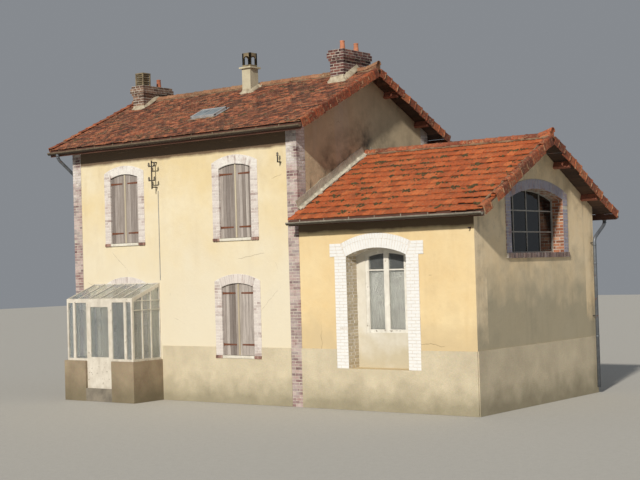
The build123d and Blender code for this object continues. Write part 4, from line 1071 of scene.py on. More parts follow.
# Boards under the tiles
boarding = {"width": 0.145, "gap": 0.004, "thickness": 0.024, "top": -0.0605, "setback": 0.065}
for (block, side), slope in slopes.items():
    run = slope.length - boarding["setback"] / slope.cosine
    rows = round(run / boarding["width"])
    gap, thick = boarding["gap"], boarding["thickness"]
    step = run / rows
    centres, sizes = [], []
    for row in range(rows):
        ends = np.sort(dice.uniform(slope.x0 + 1, slope.x1 - 1, 2))
        breaks = [slope.x0, *ends, slope.x1]
        middle = (row + 0.5) * step
        besideHole = hole[2] - step / 2 < middle < hole[3] + step / 2
        crossing = (block, side) == ("main", -1) and besideHole
        for x0, x1 in zip(breaks, breaks[1:]):
            runs = [(x0, min(x1, hole[0])), (max(x0, hole[1]), x1)] if crossing else [(x0, x1)]
            for a, b in runs:
                if b - a > 0.02:
                    centres.append([(a + b) / 2, middle, boarding["top"] - thick / 2])
                    sizes.append([b - a - gap, step - gap, thick])
    shape = outward(*boxes(slope.laid(np.array(centres)), np.array(sizes), slope.axes()))
    addPiece(f"{block}_roof_boards_{sideNames[side]}", toned(shape), roofWood, "timber",
             [f"{block}_boards_{sideNames[side]}"])
print("roof edges done")

# Bricks: laid course by course over the mortar-coloured nodes, standing a few millimetres proud
bond = {"course": 0.077, "joint": 0.0125, "length": 0.22, "width": 0.105, "proud": 0.004,
        "wander": 0.0012}


def arc(half, rise, springing):
    # radius, centre height and half angle of the arc through two springing points and a crown
    radius = half ** 2 / (2 * rise) + rise / 2
    return radius, springing + rise - radius, math.asin(half / radius)


def squared(centres, sizes):
    # bricks that stand square to the frame, all of one size or each of its own
    centres = np.asarray(centres)
    axes = np.broadcast_to(np.eye(3), (len(centres), 3, 3))
    return centres, np.broadcast_to(sizes, centres.shape), axes


def evenBricks(start, end):
    # whole bricks of one length, near the usual one, that fill a run with a joint between them
    count = max(1, math.ceil((end - start) / (bond["length"] + 2.5 * bond["joint"])))
    edges = np.linspace(start, end + bond["joint"], count + 1)
    return np.stack([edges[:-1], edges[1:] - bond["joint"]], axis=1)


def cornerPlans(width, depth):
    # two courses of a pier in plan: a stretcher round the corner one way, then the other
    plans = []
    for face, turn in ((bond["length"], bond["width"]), (bond["width"], bond["length"])):
        face, turn = min(face, width), min(turn, depth)
        if width - face < 0.05:
            face = width
        if depth - turn < 0.05:
            turn = depth
        rows = [(0.0, face, 0.0, turn)]
        if width > face:
            rows += [(a, b, 0.0, bond["width"]) for a, b in evenBricks(face + bond["joint"], width)]
        if depth > turn:
            rows += [(0.0, bond["width"], a, b) for a, b in evenBricks(turn + bond["joint"], depth)]
        plans.append(np.array(rows))
    return plans


def layPier(plans, start, along, inward, foot, top):
    # rectangles in plan repeated up the pier, every other course by the other plan
    number = max(1, round((top - foot) / bond["course"]))
    rise = (top - foot) / number
    laid = []
    for parity, plan in enumerate(plans):
        plan = np.where(plan == 0.0, -bond["proud"], plan)
        levels = foot + rise * (np.arange(parity, number, 2) + 0.5)
        centre = (start + np.multiply.outer(plan[:, :2].mean(axis=1), along)
                  + np.multiply.outer(plan[:, 2:].mean(axis=1), inward))
        size = (np.multiply.outer(plan[:, 1] - plan[:, 0], np.abs(along))
                + np.multiply.outer(plan[:, 3] - plan[:, 2], np.abs(inward)))
        centres = np.repeat(centre[None], len(levels), axis=0)
        centres[..., 2] = levels[:, None]
        sizes = np.repeat(size[None], len(levels), axis=0)
        sizes[..., 2] = rise - bond["joint"]
        laid.append((centres.reshape(-1, 3), sizes.reshape(-1, 3)))
    return squared(*[np.concatenate(columns) for columns in zip(*laid)])


def layArch(spot, along, inward, centreZ, inner, outer, angle, rows=1, stagger=0.0,
            joint=bond["joint"]):
    # voussoirs: boxes turned to the arc's own radius, evenly spaced between its two ends
    middle = (inner + outer) / 2
    number = max(3, round(2 * angle * middle / bond["course"]))
    angles = ((np.arange(number) + 0.5 + stagger) / number * 2 - 1) * angle
    angles = angles[np.abs(angles) < angle * (1 - 0.4 / number)]
    radial = np.multiply.outer(np.sin(angles), along) + np.multiply.outer(np.cos(angles), upZ)
    tangent = np.multiply.outer(np.cos(angles), along) - np.multiply.outer(np.sin(angles), upZ)
    third = np.repeat(np.cross(tangent[0], radial[0])[None], len(angles), axis=0)
    axes = np.stack([tangent, radial, third], axis=1)
    laid = []
    for row in range(rows):
        deep = bond["width"] / 2 - bond["proud"] + row * (bond["width"] + bond["joint"])
        centres = spot + centreZ * upZ + radial * (middle - bond["proud"]) + deep * inward
        size = [2 * angle * middle / number - joint, outer - inner - joint / 2, bond["width"]]
        laid.append((centres, np.broadcast_to(size, centres.shape), axes))
    return [np.concatenate(columns) for columns in zip(*laid)]


def skewCourses(spot, along, inward, reach, centreZ, angle, foot, top):
    # the courses beside an arch, cut back to the line of its last joint
    number = max(1, round((top - foot) / bond["course"]))
    rise = (top - foot) / number
    edges = foot + rise * np.arange(number + 1)
    start = (edges[1:] - centreZ) * math.tan(angle) + bond["joint"] * 0.6
    deep = (bond["width"] / 2 - bond["proud"]) * inward
    centres, sizes = [], []
    for hand in (-1, 1):
        for level, inner in zip(edges[:-1] + rise / 2, start):
            if reach - inner < 0.04:
                continue
            for a, b in evenBricks(inner, reach):
                centres.append(spot + hand * (a + b) / 2 * along + deep + level * upZ)
                size = (b - a) * np.abs(along) + bond["width"] * np.abs(inward)
                sizes.append(size + (rise - bond["joint"]) * upZ)
    return squared(centres, sizes)


def archedSurround(spot, along, inward, half, foot, springing, rise, band, depth):
    # both jambs, the cut courses beside the arch and the arch itself
    radius, centreZ, angle = arc(half, rise, springing)
    laid = [layPier(cornerPlans(band, depth), spot + hand * half * along, hand * along, inward,
                    foot, springing) for hand in (-1, 1)]
    shoulder = centreZ + math.sqrt((radius + band) ** 2 - (half + band) ** 2)
    laid.append(skewCourses(spot, along, inward, half + band, centreZ, angle, springing, shoulder))
    rows = max(1, round(depth / (bond["width"] + bond["joint"])))
    laid.append(layArch(spot, along, inward, centreZ, radius, radius + band, angle, rows))
    return laid


def brickPiece(name, laid, material, slotName):
    # each brick a little out of place and size, and with a tone of its own
    centres, sizes, axes = [np.concatenate(columns) for columns in zip(*laid)]
    centres = centres + dice.normal(0, bond["wander"], centres.shape)
    sizes = sizes + dice.normal(0, bond["wander"], sizes.shape)
    addPiece(name, toned(boxes(centres, sizes, axes)), material, slotName, bevel=0.004)


alongX, alongY, upZ = np.eye(3)
quoin = {"side": 0.335, "top": 7.17, "proud": 0.010}
quoins = []
for handX, wallX in ((-1, house["left"]), (1, house["right"])):
    for handY, wallY in ((-1, house["front"]), (1, house["back"])):
        start = np.array([wallX, wallY + handY * quoin["proud"], 0.0])
        quoins.append(layPier(cornerPlans(quoin["side"], quoin["side"]), start, -handX * alongX,
                              -handY * alongY, 0.0, quoin["top"]))
brickPiece("quoin_bricks", quoins, quoinSkin, "quoin_brick")

# The openings of the taller block: an upper one and a lower one in each column
wallOpenings = []
for side, wallY in walls:
    for column, x in enumerate(openingX):
        isDoor = side > 0 or column == 0
        foot = opening["doorFoot"] if isDoor else opening["lowerSill"]
        wallOpenings += [(side, wallY, x, opening["upperSill"], opening["upperSpring"], False),
                         (side, wallY, x, foot, opening["lowerSpring"], isDoor)]
surrounds = {-1: [], 1: []}
for side, wallY, x, foot, springing, isDoor in wallOpenings:
    spot = np.array([x, wallY + side * opening["proud"], 0.0])
    surrounds[side] += archedSurround(spot, alongX, -side * alongY, opening["half"], foot,
                                      springing, opening["rise"], opening["band"], bond["width"])
for side, name in sideNames.items():
    brickPiece(f"{name}_surround_bricks", surrounds[side], whiteSkin, "white_brick")

hallBricks, hallRevealBricks = [], []
radius, centreZ, angle = arc(hallArch["half"], hallArch["rise"], hallArch["spring"])
for side, wallY in walls:
    spot = np.array([hallArch["centre"], wallY + side * opening["proud"], 0.0])
    inward = -side * alongY
    for hand in (-1, 1):
        plans = cornerPlans(hallArch["band"], hallArch["reveal"])
        start = spot + hand * hallArch["half"] * alongX
        facing = [plan[plan[:, 2] == 0.0] for plan in plans]
        lining = [plan[plan[:, 2] > 0.0] for plan in plans]
        for store, part in ((hallBricks, facing), (hallRevealBricks, lining)):
            store.append(layPier(part, start, hand * alongX, inward, hallArch["foot"],
                                 hallArch["spring"]))
    hallBricks.append(skewCourses(spot, alongX, inward,
                                  hallArch["half"] + hallArch["band"] + hallArch["impost"],
                                  centreZ, angle, hallArch["spring"],
                                  hallArch["spring"] + hallArch["impostRise"]))
    for ring, inner, outer in ((0, 0, hallArch["ring"]), (1, hallArch["ring"], hallArch["band"])):
        hallBricks.append(layArch(spot, alongX, inward, centreZ, radius + inner, radius + outer,
                                  angle, 1, 0.5 * ring, hallArch["paintedJoint"]))
    hallRevealBricks.append(layArch(spot + 0.115 * inward, alongX, inward, centreZ, radius,
                                    radius + 0.1, angle, 2))
brickPiece("hall_surround_bricks", hallBricks, hallSkin, "white_brick")
brickPiece("hall_reveal_bricks", hallRevealBricks, hallSkin, "quoin_brick")

spot = np.array([house["end"] + opening["proud"], 0.0, 0.0])
gableBricks = archedSurround(spot, alongY, -alongX, gableArch["half"], gableArch["sill"],
                             gableArch["spring"], gableArch["rise"], gableArch["band"],
                             gableArch["reveal"])
brickPiece("gable_window_bricks", gableBricks, gableBrickSkin, "white_brick")
reach = gableArch["half"] + gableArch["band"]
count = round(2 * reach / bond["course"])
places = (np.arange(count) + 0.5) / count * 2 * reach - reach
centres = stacked(house["end"] + gableArch["sillNose"] - bond["length"] / 2 + bond["proud"],
                  places, gableArch["sill"] - gableArch["sillRise"] / 2 + 0.002)
sizes = (bond["length"], 2 * reach / count - bond["joint"], gableArch["sillRise"])
brickPiece("gable_sill_bricks", [squared(centres, sizes)], gableSillSkin, "white_brick")

# Window sills: a nosed stone as wide as the opening, and bricks on edge below the jambs
sillStones, sillBricks = [], []
for side, wallY, x, level, springing, isDoor in wallOpenings:
    if isDoor:
        continue
    y = wallY + side * np.array([-0.20, 0.025, 0.041, 0.045, 0.041, 0.030, 0.026, 0.012, -0.20])
    z = level + np.array([0.0, -0.004, -0.010, -0.022, -0.070, -0.079, -0.070, -0.080, -0.080])
    ends = [[x - opening["half"] + 0.002], [x + opening["half"] - 0.002]]
    sillStones.append(loft(stacked(ends, y, z)))
    offsets = opening["half"] + (np.arange(3) + 0.5) * opening["band"] / 3
    for hand in (-1, 1):
        centres = stacked(x + hand * offsets, wallY + side * (0.043 - 0.11), level - 0.041)
        sillBricks.append(squared(centres, (0.07, 0.22, 0.074)))
addPiece("sill_stones", joined(sillStones), sillStone, "white_brick", ["window_sills"], bevel=0.003)
brickPiece("sill_end_bricks", sillBricks, sillBrickSkin, "quoin_brick")
print("brickwork laid")


# Chimney stacks: rings of bricks, corbel courses, mortar skirts
def ringPlans(width, length):
    # two courses of a hollow rectangle about its middle: long rows through, then short rows
    plans = []
    for through in (True, False):
        rows = []
        for hand in (-1, 1):
            for axis, own, other in ((0, width, length), (1, length, width)):
                full = through == (axis == 0)
                end = other / 2 + (bond["proud"] if full else -bond["width"] - bond["joint"])
                sides = sorted([hand * (own / 2 + bond["proud"]), hand * (own / 2 - bond["width"])])
                rows += [(a, b, *sides) if axis else (*sides, a, b)
                         for a, b in evenBricks(-end, end)]
        plans.append(np.array(rows))
    return plans


stack = {"width": 0.44, "length": 1.18, "corbel": 0.075, "steps": (0.03, 0.06, 0.06, 0.03),
         "foot": 8.38}
stackPlaces = []
for name, skin in (("left", oldStackSkin), ("right", stackSkin)):
    low, high = span(name + "_chimney")
    centre = np.array([(low[0] + high[0]) / 2, (low[1] + high[1]) / 2, 0.0])
    stackPlaces.append((centre[0], high[2]))
    shaftTop = high[2] - stack["corbel"] * len(stack["steps"])
    stackBricks = [layPier(ringPlans(stack["width"], stack["length"]), centre, alongX, alongY,
                           stack["foot"], shaftTop)]
    for course, step in enumerate(stack["steps"]):
        plan = ringPlans(stack["width"] + 2 * step, stack["length"] + 2 * step)[course % 2]
        foot = shaftTop + course * stack["corbel"]
        stackBricks.append(layPier([plan], centre, alongX, alongY, foot, foot + stack["corbel"]))
    brickPiece(name + "_stack_bricks", stackBricks, skin, "stack_brick")


def roofLine(y, slope):
    # height of the tiles, or of the ridge tiles where those are higher
    tiles = slope.ridge - np.abs(y) * slope.sine / slope.cosine
    caps = ridgeCentre(slope) + np.sqrt(np.clip(ridge["radius"] ** 2 - y ** 2, 0, None))
    return np.maximum(tiles, np.where(np.abs(y) < ridge["radius"], caps, 0.0))


def stackSkirt(x, y, halfX, halfY, height, width, seed):
    # mortar round a stack's foot: a wedge carried round a rectangle, at the roof's own height
    angle = circle(96)
    cosine, sine = np.cos(angle), np.sin(angle)
    squareness = 0.12
    base = np.stack([x + halfX * np.sign(cosine) * np.abs(cosine) ** squareness,
                     y + halfY * np.sign(sine) * np.abs(sine) ** squareness], axis=1)
    out = np.stack([cosine, sine], axis=1)
    wide = width * (1 + 0.5 * ripple(angle * 1.3, seed)) + 0.006 * ripple(angle * 9, seed + 2)
    tall = height * (1 + 0.4 * ripple(angle * 1.7, seed + 5)) + 0.006 * ripple(angle * 8, seed + 3)
    loop = []
    for reachShare, tallShare in ((-0.25, -0.3), (-0.1, 1.0), (0.15, 0.9), (0.6, 0.25), (1.0, 0.0),
                                  (1.0, -0.35)):
        spots = base + out * (wide * reachShare)[:, None]
        levels = roofLine(spots[:, 1], slopes["main", -1]) + tall * tallShare
        loop.append(np.column_stack([spots, levels]))
    return loft(np.stack(loop, axis=1), closed=True)


midLow, midHigh = span("mid_chimney")
midX, midY = (midLow[0] + midHigh[0]) / 2, (midLow[1] + midHigh[1]) / 2
halfX, halfY = stack["width"] / 2, stack["length"] / 2
skirts = [stackSkirt(stackPlaces[0][0], 0.0, halfX, halfY, 0.09, 0.07, 3),
          stackSkirt(stackPlaces[1][0], 0.0, halfX, halfY, 0.13, 0.12, 4),
          stackSkirt(midX, midY, 0.155, 0.17, 0.08, 0.08, 5)]
addPiece("chimney_skirts", joined(skirts), skirtMortar, "cream_render", smooth=True)

# Terminals and pots
terminal = {"width": 0.33, "height": 0.40, "post": 0.045, "tiers": 3, "lid": 0.040, "y": -0.375}
base = stackPlaces[0][1]
x, y, half = stackPlaces[0][0], terminal["y"], terminal["width"] / 2
parts = []
post, inset = terminal["post"], half - terminal["post"] / 2
for handX in (-1, 1):
    for handY in (-1, 1):
        middle = [x + handX * inset, y + handY * inset, base + terminal["height"] / 2 - 0.02]
        parts.append(boxes([middle], [[post, post, terminal["height"] - 0.04]]))
tier = (terminal["height"] - terminal["lid"]) / terminal["tiers"]
for index in range(terminal["tiers"] + 1):
    level, isLid = base + index * tier, index == terminal["tiers"]
    thick = terminal["lid"] if isLid else 0.03
    wide = terminal["width"] + (0.004 if isLid else -0.004)
    parts.append(bar(x, wide / 2, y - wide / 2, y + wide / 2, level, level + thick))
    if isLid:
        continue
    for axis, hand in ((0, -1), (0, 1), (1, -1), (1, 1)):
        middle = np.array([x, y, level + tier * 0.62])
        middle[axis] += hand * (half - 0.028)
        turn = Matrix.Rotation(hand * (0.7, -0.7)[axis], 3, "YX"[axis])
        size = np.array([terminal["width"] - 0.09, terminal["width"] - 0.09, 0.055])
        size[axis] = 0.012
        parts.append(boxes([middle], [size], np.array(turn.transposed())))
addPiece("louvred_terminal", joined(parts), concreteSkin, "cream_render", ["chimney_tops"],
         bevel=0.004)

archTop = {"width": 0.30, "wall": 0.055, "half": 0.095, "foot": 0.06, "spring": 0.25, "rise": 0.06,
           "height": 0.40}


def archedPlate(middle, along, inward, thickness):
    # a wall with an arched opening: sections from the opening's edge to the plate's own edge
    turn = np.linspace(-1, 1, 21)
    inner = np.stack([archTop["half"] * np.sin(turn * math.pi / 2),
                      archTop["spring"] + archTop["rise"] * np.cos(turn * math.pi / 2)], axis=1)
    inner = np.concatenate([[[-archTop["half"], archTop["foot"]]], inner,
                            [[archTop["half"], archTop["foot"]]]])
    halfWidth = archTop["width"] / 2
    spread = np.clip(inner[:, 0] * halfWidth / archTop["half"] * 1.02, -halfWidth, halfWidth)
    outer = np.stack([spread, np.full(len(inner), archTop["height"])], axis=1)
    outer[[0, -1], 1] = archTop["foot"]
    outer[[0, 1], 0], outer[[-1, -2], 0] = -halfWidth, halfWidth
    loop = [middle + np.multiply.outer(edge[:, 0], along) + np.multiply.outer(edge[:, 1], upZ)
            + deep * inward
            for edge, deep in ((inner, 0.0), (outer, 0.0), (outer, thickness), (inner, thickness))]
    return loft(np.stack(loop, axis=1))


capTop = span("mid_chimney")[1][2]
parts = []
for along, inward in ((alongX, alongY), (alongX, -alongY), (alongY, alongX), (alongY, -alongX)):
    middle = np.array([midX, midY, capTop]) - inward * archTop["width"] / 2
    parts.append(archedPlate(middle, along, inward, archTop["wall"]))
half = archTop["width"] / 2
for reach, low, high in ((half, 0.0, archTop["foot"]),
                         (half - 0.01, 0.35, archTop["height"] - 0.002)):
    parts.append(bar(midX, reach, midY - reach, midY + reach, capTop + low, capTop + high))
addPiece("arched_terminal", joined(parts), concreteSkin, "cream_render", bevel=0.003)

potProfile = [(0.070, 0.0), (0.076, 0.004), (0.075, 0.03), (0.070, 0.10), (0.063, 0.20),
              (0.061, 0.228), (0.066, 0.236), (0.068, 0.252), (0.064, 0.268), (0.058, 0.270),
              (0.050, 0.262), (0.046, 0.24), (0.045, 0.12)]
pots = [turned(potProfile, (stackPlaces[end][0], y, stackPlaces[end][1]), 28)
        for end, y in ((0, 0.295), (1, -0.31), (1, 0.31))]
addPiece("clay_pots", joined(pots), potClay, "pot_clay", smooth=True)
print("chimneys done")

# Gutters with a rolled bead, joints and straps; smooth downpipes with collars
gutter = {"radius": 0.065, "wall": 0.0035, "bead": 0.009, "sleeve": 0.03, "joint": 2.0,
          "strap": 0.022, "strapGap": 0.75}
gutterLow, gutterHigh = span("gutters")
gutterParts = {"main": [], "annex": []}
gutterAxis = {}


def roundAbout(angles, radius):
    # places on a circle in y and z
    return np.stack([np.cos(angles), np.sin(angles)], axis=1) * radius


outer = roundAbout(np.linspace(0, -math.pi, 15), gutter["radius"])
inner = outer[::-1] * (1 - gutter["wall"] / gutter["radius"])
bead = roundAbout(np.linspace(math.radians(200), math.radians(-60), 7), gutter["bead"])
collar = np.concatenate([outer * 1.03, outer[::-1] * 0.97])
gutterLoop = np.concatenate([bead + [gutter["radius"] - gutter["bead"], 0.002], outer[1:],
                             inner[:-1]])
for (block, side), slope in slopes.items():
    parts = gutterParts[block]
    y = side * (max(abs(gutterLow[1]), abs(gutterHigh[1])) - gutter["radius"])
    z = slope.ridge - abs(y) * slope.sine / slope.cosine - 0.06 / slope.cosine - 0.030
    gutterAxis[block, side] = (y, z)

    def slices(x, loop, sag=0.0):
        # a section of the gutter carried along x
        return loft(stacked(np.array(x)[:, None], y + side * loop[:, 0], z + loop[:, 1] + sag))

    x = np.linspace(slope.x0, slope.x1, 40)
    parts.append(slices(x, gutterLoop, 0.004 * ripple(x * 0.7, 101 + side)[:, None]))
    for end in (slope.x0, slope.x1 - 0.004):
        parts.append(slices((end, end + 0.004), outer))
    for start in np.arange(slope.x0 + 1.4, slope.x1 - 0.6, gutter["joint"]):
        parts.append(slices((start, start + gutter["sleeve"]), collar))
    for start in np.arange(slope.x0 + 0.35, slope.x1 - 0.2, gutter["strapGap"]):
        end = start + gutter["strap"]
        parts.append(slices((start, end), collar * (1.02, 1.03)))
        parts.append(spanBox(start, end, y - side * (gutter["radius"] - 0.002),
                             y - side * (gutter["radius"] + 0.006), z - 0.01, z + 0.075))
addPiece("house_gutters", joined(gutterParts["main"]), zincSkin, "zinc", ["gutters"])
addPiece("hall_gutters", joined(gutterParts["annex"]), hallZinc, "zinc", ["gutters"])
# a painted strip along the foot of each fascia of the taller block, seen below the gutter
fasciaStrip = {"thick": 0.014, "below": 0.052, "above": 0.005, "inset": 0.02}
strips = []
for side in (-1, 1):
    y, z = gutterAxis["main", side]
    back, low = y - side * gutter["radius"], z - gutter["radius"]
    strips.append(spanBox(slopes["main", side].x0 + fasciaStrip["inset"],
                          slopes["main", side].x1 - fasciaStrip["inset"], back,
                          back + side * fasciaStrip["thick"], low - fasciaStrip["below"],
                          low + fasciaStrip["above"]))
addPiece("fascia_strips", joined(strips), fasciaWood, "timber", bevel=0.003)

clipLow, clipHigh = span("pipe_clips")
pipe = {"radius": 0.045, "neck": 0.12, "foot": 0.15, "bend": 0.11, "standOff": 0.04,
        "clip": 0.040, "mainDrop": 0.60, "hallDrop": 0.50, "overhang": 0.12, "sleeve": 0.05,
        "sleeveRadius": 0.0488, "topSleeve": 0.14, "lowSleeves": (3.4, 1.5)}
pipeY = {-1: clipLow[1] + pipe["clip"] / 2, 1: clipHigh[1] - pipe["clip"] / 2}
pipes = []
for block, side, wallX, away, drop in (
        ("main", -1, house["left"], -1, pipe["mainDrop"]),
        ("main", 1, house["left"], -1, pipe["mainDrop"]),
        ("annex", 1, house["end"] + 0.025, 1, pipe["hallDrop"])):
    gutterY, gutterZ = gutterAxis[block, side]
    x, y = wallX + away * (pipe["radius"] + pipe["standOff"]), pipeY[side]
    mouthX = (house["left"] if away < 0 else house["end"]) + away * pipe["overhang"]
    top = gutterZ - gutter["radius"]
    path = easedPath([(mouthX, gutterY, top + 0.01), (mouthX, gutterY, top - pipe["neck"]),
                      (x, y, top - drop), (x, y, pipe["foot"])],
                     pipe["bend"])
    pipes.append(tube(path, pipe["radius"], 20))
    pipes.append(tube([(mouthX, gutterY, top + 0.004), (mouthX, gutterY, top - 0.05)],
                      [0.058, 0.048], 20))
    pipes.append(tube([(mouthX, gutterY, top - 0.075), (mouthX, gutterY, top - 0.10)], 0.049, 20))
    for level in (top - drop - pipe["topSleeve"], *pipe["lowSleeves"]):
        pipes.append(tube([(x, y, level), (x, y, level - pipe["sleeve"])], pipe["sleeveRadius"],
                          20))
addPiece("zinc_downpipes", joined(pipes), pipeSkin, "zinc", ["downpipes"], smooth=True)

# Skylight: a zinc frame, its pane, a skirt over the tiles and mortar at its foot
front = slopes["main", -1]
axes = front.axes()


def slopeBar(x0, x1, run0, run1, low, high):
    # a box that lies along the slope, between two limits in x, run and height
    middle = front.at((x0 + x1) / 2, (run0 + run1) / 2, (low + high) / 2)
    return outward(*boxes([middle], [[x1 - x0, run1 - run0, high - low]], axes))


x0, x1, run0, run1 = hole
f = skylight["frame"]
frameParts = [slopeBar(x0, x1, run0, run0 + f, -0.08, skylight["upstand"]),
              slopeBar(x0, x1, run1 - f, run1, -0.08, skylight["upstand"] - 0.012),
              slopeBar(x0, x0 + f, run0, run1, -0.08, skylight["upstand"] - 0.002),
              slopeBar(x1 - f, x1, run0, run1, -0.08, skylight["upstand"] - 0.002),
              slopeBar((x0 + x1) / 2 - 0.012, (x0 + x1) / 2 + 0.012, run0, run1,
                       skylight["glassTop"] - 0.02, skylight["glassTop"] + 0.008)]
lead = skylight["lead"]
for a, b, c, d in ((x0 - lead, x1 + lead, run0 - 2 * lead, run0),
                   (x0 - lead, x1 + lead, run1, run1 + 2 * lead),
                   (x0 - lead, x0, run0, run1), (x1, x1 + lead, run0, run1)):
    frameParts.append(slopeBar(a, b, c, d, -0.004, 0.007))
addPiece("skylight_frame", joined(frameParts), leadSkin, "zinc", ["skylight"], bevel=0.003)
pane = slopeBar(x0 + f - 0.01, x1 - f + 0.01, run0 + f - 0.01, run1 - f + 0.01,
                skylight["glassTop"] - skylight["glass"], skylight["glassTop"])
addPiece("skylight_pane", joined([pane]), skyGlass, "glass")
x = np.linspace(x0 - 0.06, x1 + 0.04, 40)
lumps = mortarFillet(front.at(x, run1 + 0.04, 0.0), axes[1], axes[2],
                     uneven(0.05, 0.6, x * 6, 5, 0.2), uneven(0.014, 0.5, x * 8, 6, 0.3))
addPiece("skylight_mortar", joined([lumps]), agedMortar, "cream_render", smooth=True)

# Flashing where the hall roof meets the taller gable, under an uneven edge of mortar
flashing = {"height": 0.235, "mortar": 0.085}
sheets, edges = [], []
for side in (-1, 1):
    slope = slopes["annex", side]
    run = np.linspace(0.105, abs(house["front"]) / slope.cosine - 0.01, 90)
    top = flashing["height"] + 0.018 * ripple(run * 2.0, 201 + side)
    wave = 0.004 * ripple(run * 4.0, 205 + side)
    offsets = [(-0.01, top), (0.010, top), (0.012, 0.06), (0.030, 0.022), (0.10, 0.010),
               (0.10, 0.002), (-0.01, -0.02)]
    loop = [slope.at(house["right"] + outX + (wave if outX > 0 else 0.0), run, level)
            for outX, level in offsets]
    sheets.append(loft(np.stack(loop, axis=1)))
    base = slope.at(house["right"] + 0.012, run, -0.012)
    edges.append(mortarFillet(base, alongX, slope.axes()[2],
                              uneven(flashing["mortar"], 0.5, run * 4, 211 + side, 0.3),
                              uneven(0.055, 0.6, run * 6, 215 + side, 0.2)))
addPiece("gable_flashing", joined(sheets), cementSkin, "zinc", ["wall_flashing"])
addPiece("flashing_mortar", joined(edges), beddingMortar, "cream_render", smooth=True)
print("metalwork done")

# Shutters and doors of upright boards, their tops cut to the arch
joinery = {"boards": 5, "joint": 0.006, "shutterRecess": 0.040, "shutterDepth": 0.034,
           "doorRecess": 0.110, "doorDepth": 0.050, "leafGap": 0.006, "strap": 0.44}


def boardedLeaf(centre, x0, x1, foot, springing, y0, y1, count):
    # boards side by side, each with a peaked top that follows the arch
    radius, centreZ, angle = arc(opening["half"], opening["rise"], springing)
    edges = np.linspace(x0, x1, count + 1)
    parts = []
    for a, b in zip(edges, edges[1:]):
        a, b = a + joinery["joint"] / 2, b - joinery["joint"] / 2
        x = np.array([a, b, b, (a + b) / 2, a])
        z = centreZ + np.sqrt(radius ** 2 - (x - centre) ** 2) - 0.004
        z[:2] = foot + 0.004
        shift = dice.normal(0, 0.0015)
        points, faces = loft(stacked(x, [[y0 + shift], [y1 + shift]], z))
        parts.append((points, faces, np.full(len(points), dice.uniform())))
    return parts


def strapHinge(x, hand, face, side, level):
    # a tapering iron strap from the jamb, its knuckle and three bolts
    tip, knuckleY = x - hand * joinery["strap"], face + side * 0.010
    parts = [loft(stacked([x, x, tip, tip], face + side * np.array([[0.001], [0.007]]),
                          level + np.array([-0.026, 0.026, 0.018, -0.018])))]
    parts.append(tube([(x, knuckleY, level - 0.035), (x, knuckleY, level + 0.035)], 0.010, 10))
    for share in (0.15, 0.5, 0.9):
        bolt = x - hand * joinery["strap"] * share
        parts.append(tube([(bolt, face + side * 0.007, level), (bolt, face + side * 0.013, level)],
                          [0.009, 0.006], 8, (0, 0, 1.0)))
    return parts


shutterBoards, doorBoards = {-1: [], 1: []}, {-1: [], 1: []}
straps, coverStrips, furniture = [], [], []
for side, wallY, x, foot, springing, isDoor in wallOpenings:
    recess = joinery["doorRecess"] if isDoor else joinery["shutterRecess"]
    depth = joinery["doorDepth"] if isDoor else joinery["shutterDepth"]
    outer, inner = wallY - side * recess, wallY - side * (recess + depth)
    store = doorBoards if isDoor else shutterBoards
    for hand in (-1, 1):
        x0, x1 = sorted([x + hand * joinery["leafGap"] / 2, x + hand * (opening["half"] - 0.003)])
        store[side] += boardedLeaf(x, x0, x1, foot, springing, outer, inner, joinery["boards"])
        for level in (springing - 0.16, foot + 0.28):
            straps += strapHinge(x + hand * (opening["half"] - 0.012), hand, outer, side, level)
    coverStrips.append(bar(x, 0.026, outer + side * 0.001, outer + side * 0.018, foot + 0.006,
                           springing + opening["rise"] - 0.006))
    if isDoor:
        knob, knobX, knobZ = outer + side * 0.018, x + 0.07, foot + 1.0
        furniture.append(tube([(knobX, knob - side * 0.018, knobZ),
                               (knobX, knob + side * 0.035, knobZ)], 0.010, 12, (0, 0, 1.0)))
        furniture.append(tube([(knobX, knob + side * 0.030, knobZ),
                               (x + 0.19, knob + side * 0.030, foot + 0.99)], [0.010, 0.007], 12))
        furniture.append(spanBox(x + 0.045, x + 0.095, outer, outer + side * 0.004,
                                 foot + 0.88, foot + 1.10))
for name, boards, skin, node in (
        ("front_shutter", shutterBoards[-1], shutterWood, "front_shutters"),
        ("back_shutter", shutterBoards[1], shutterWood, "back_shutters"),
        ("house_door", doorBoards[-1], doorPaint, "house_door"),
        ("back_door", doorBoards[1], doorPaint, "back_doors")):
    addPiece(f"{name}_boards", joined(boards), skin, "weathered_boards", [node], bevel=0.003)
addPiece("strap_hinges", joined(straps), rustyIron, "grey_iron")
addPiece("cover_strips", joined(coverStrips), stripWood, "weathered_boards", bevel=0.004)
addPiece("door_furniture", joined(furniture), darkIron, "grey_iron", bevel=0.001)

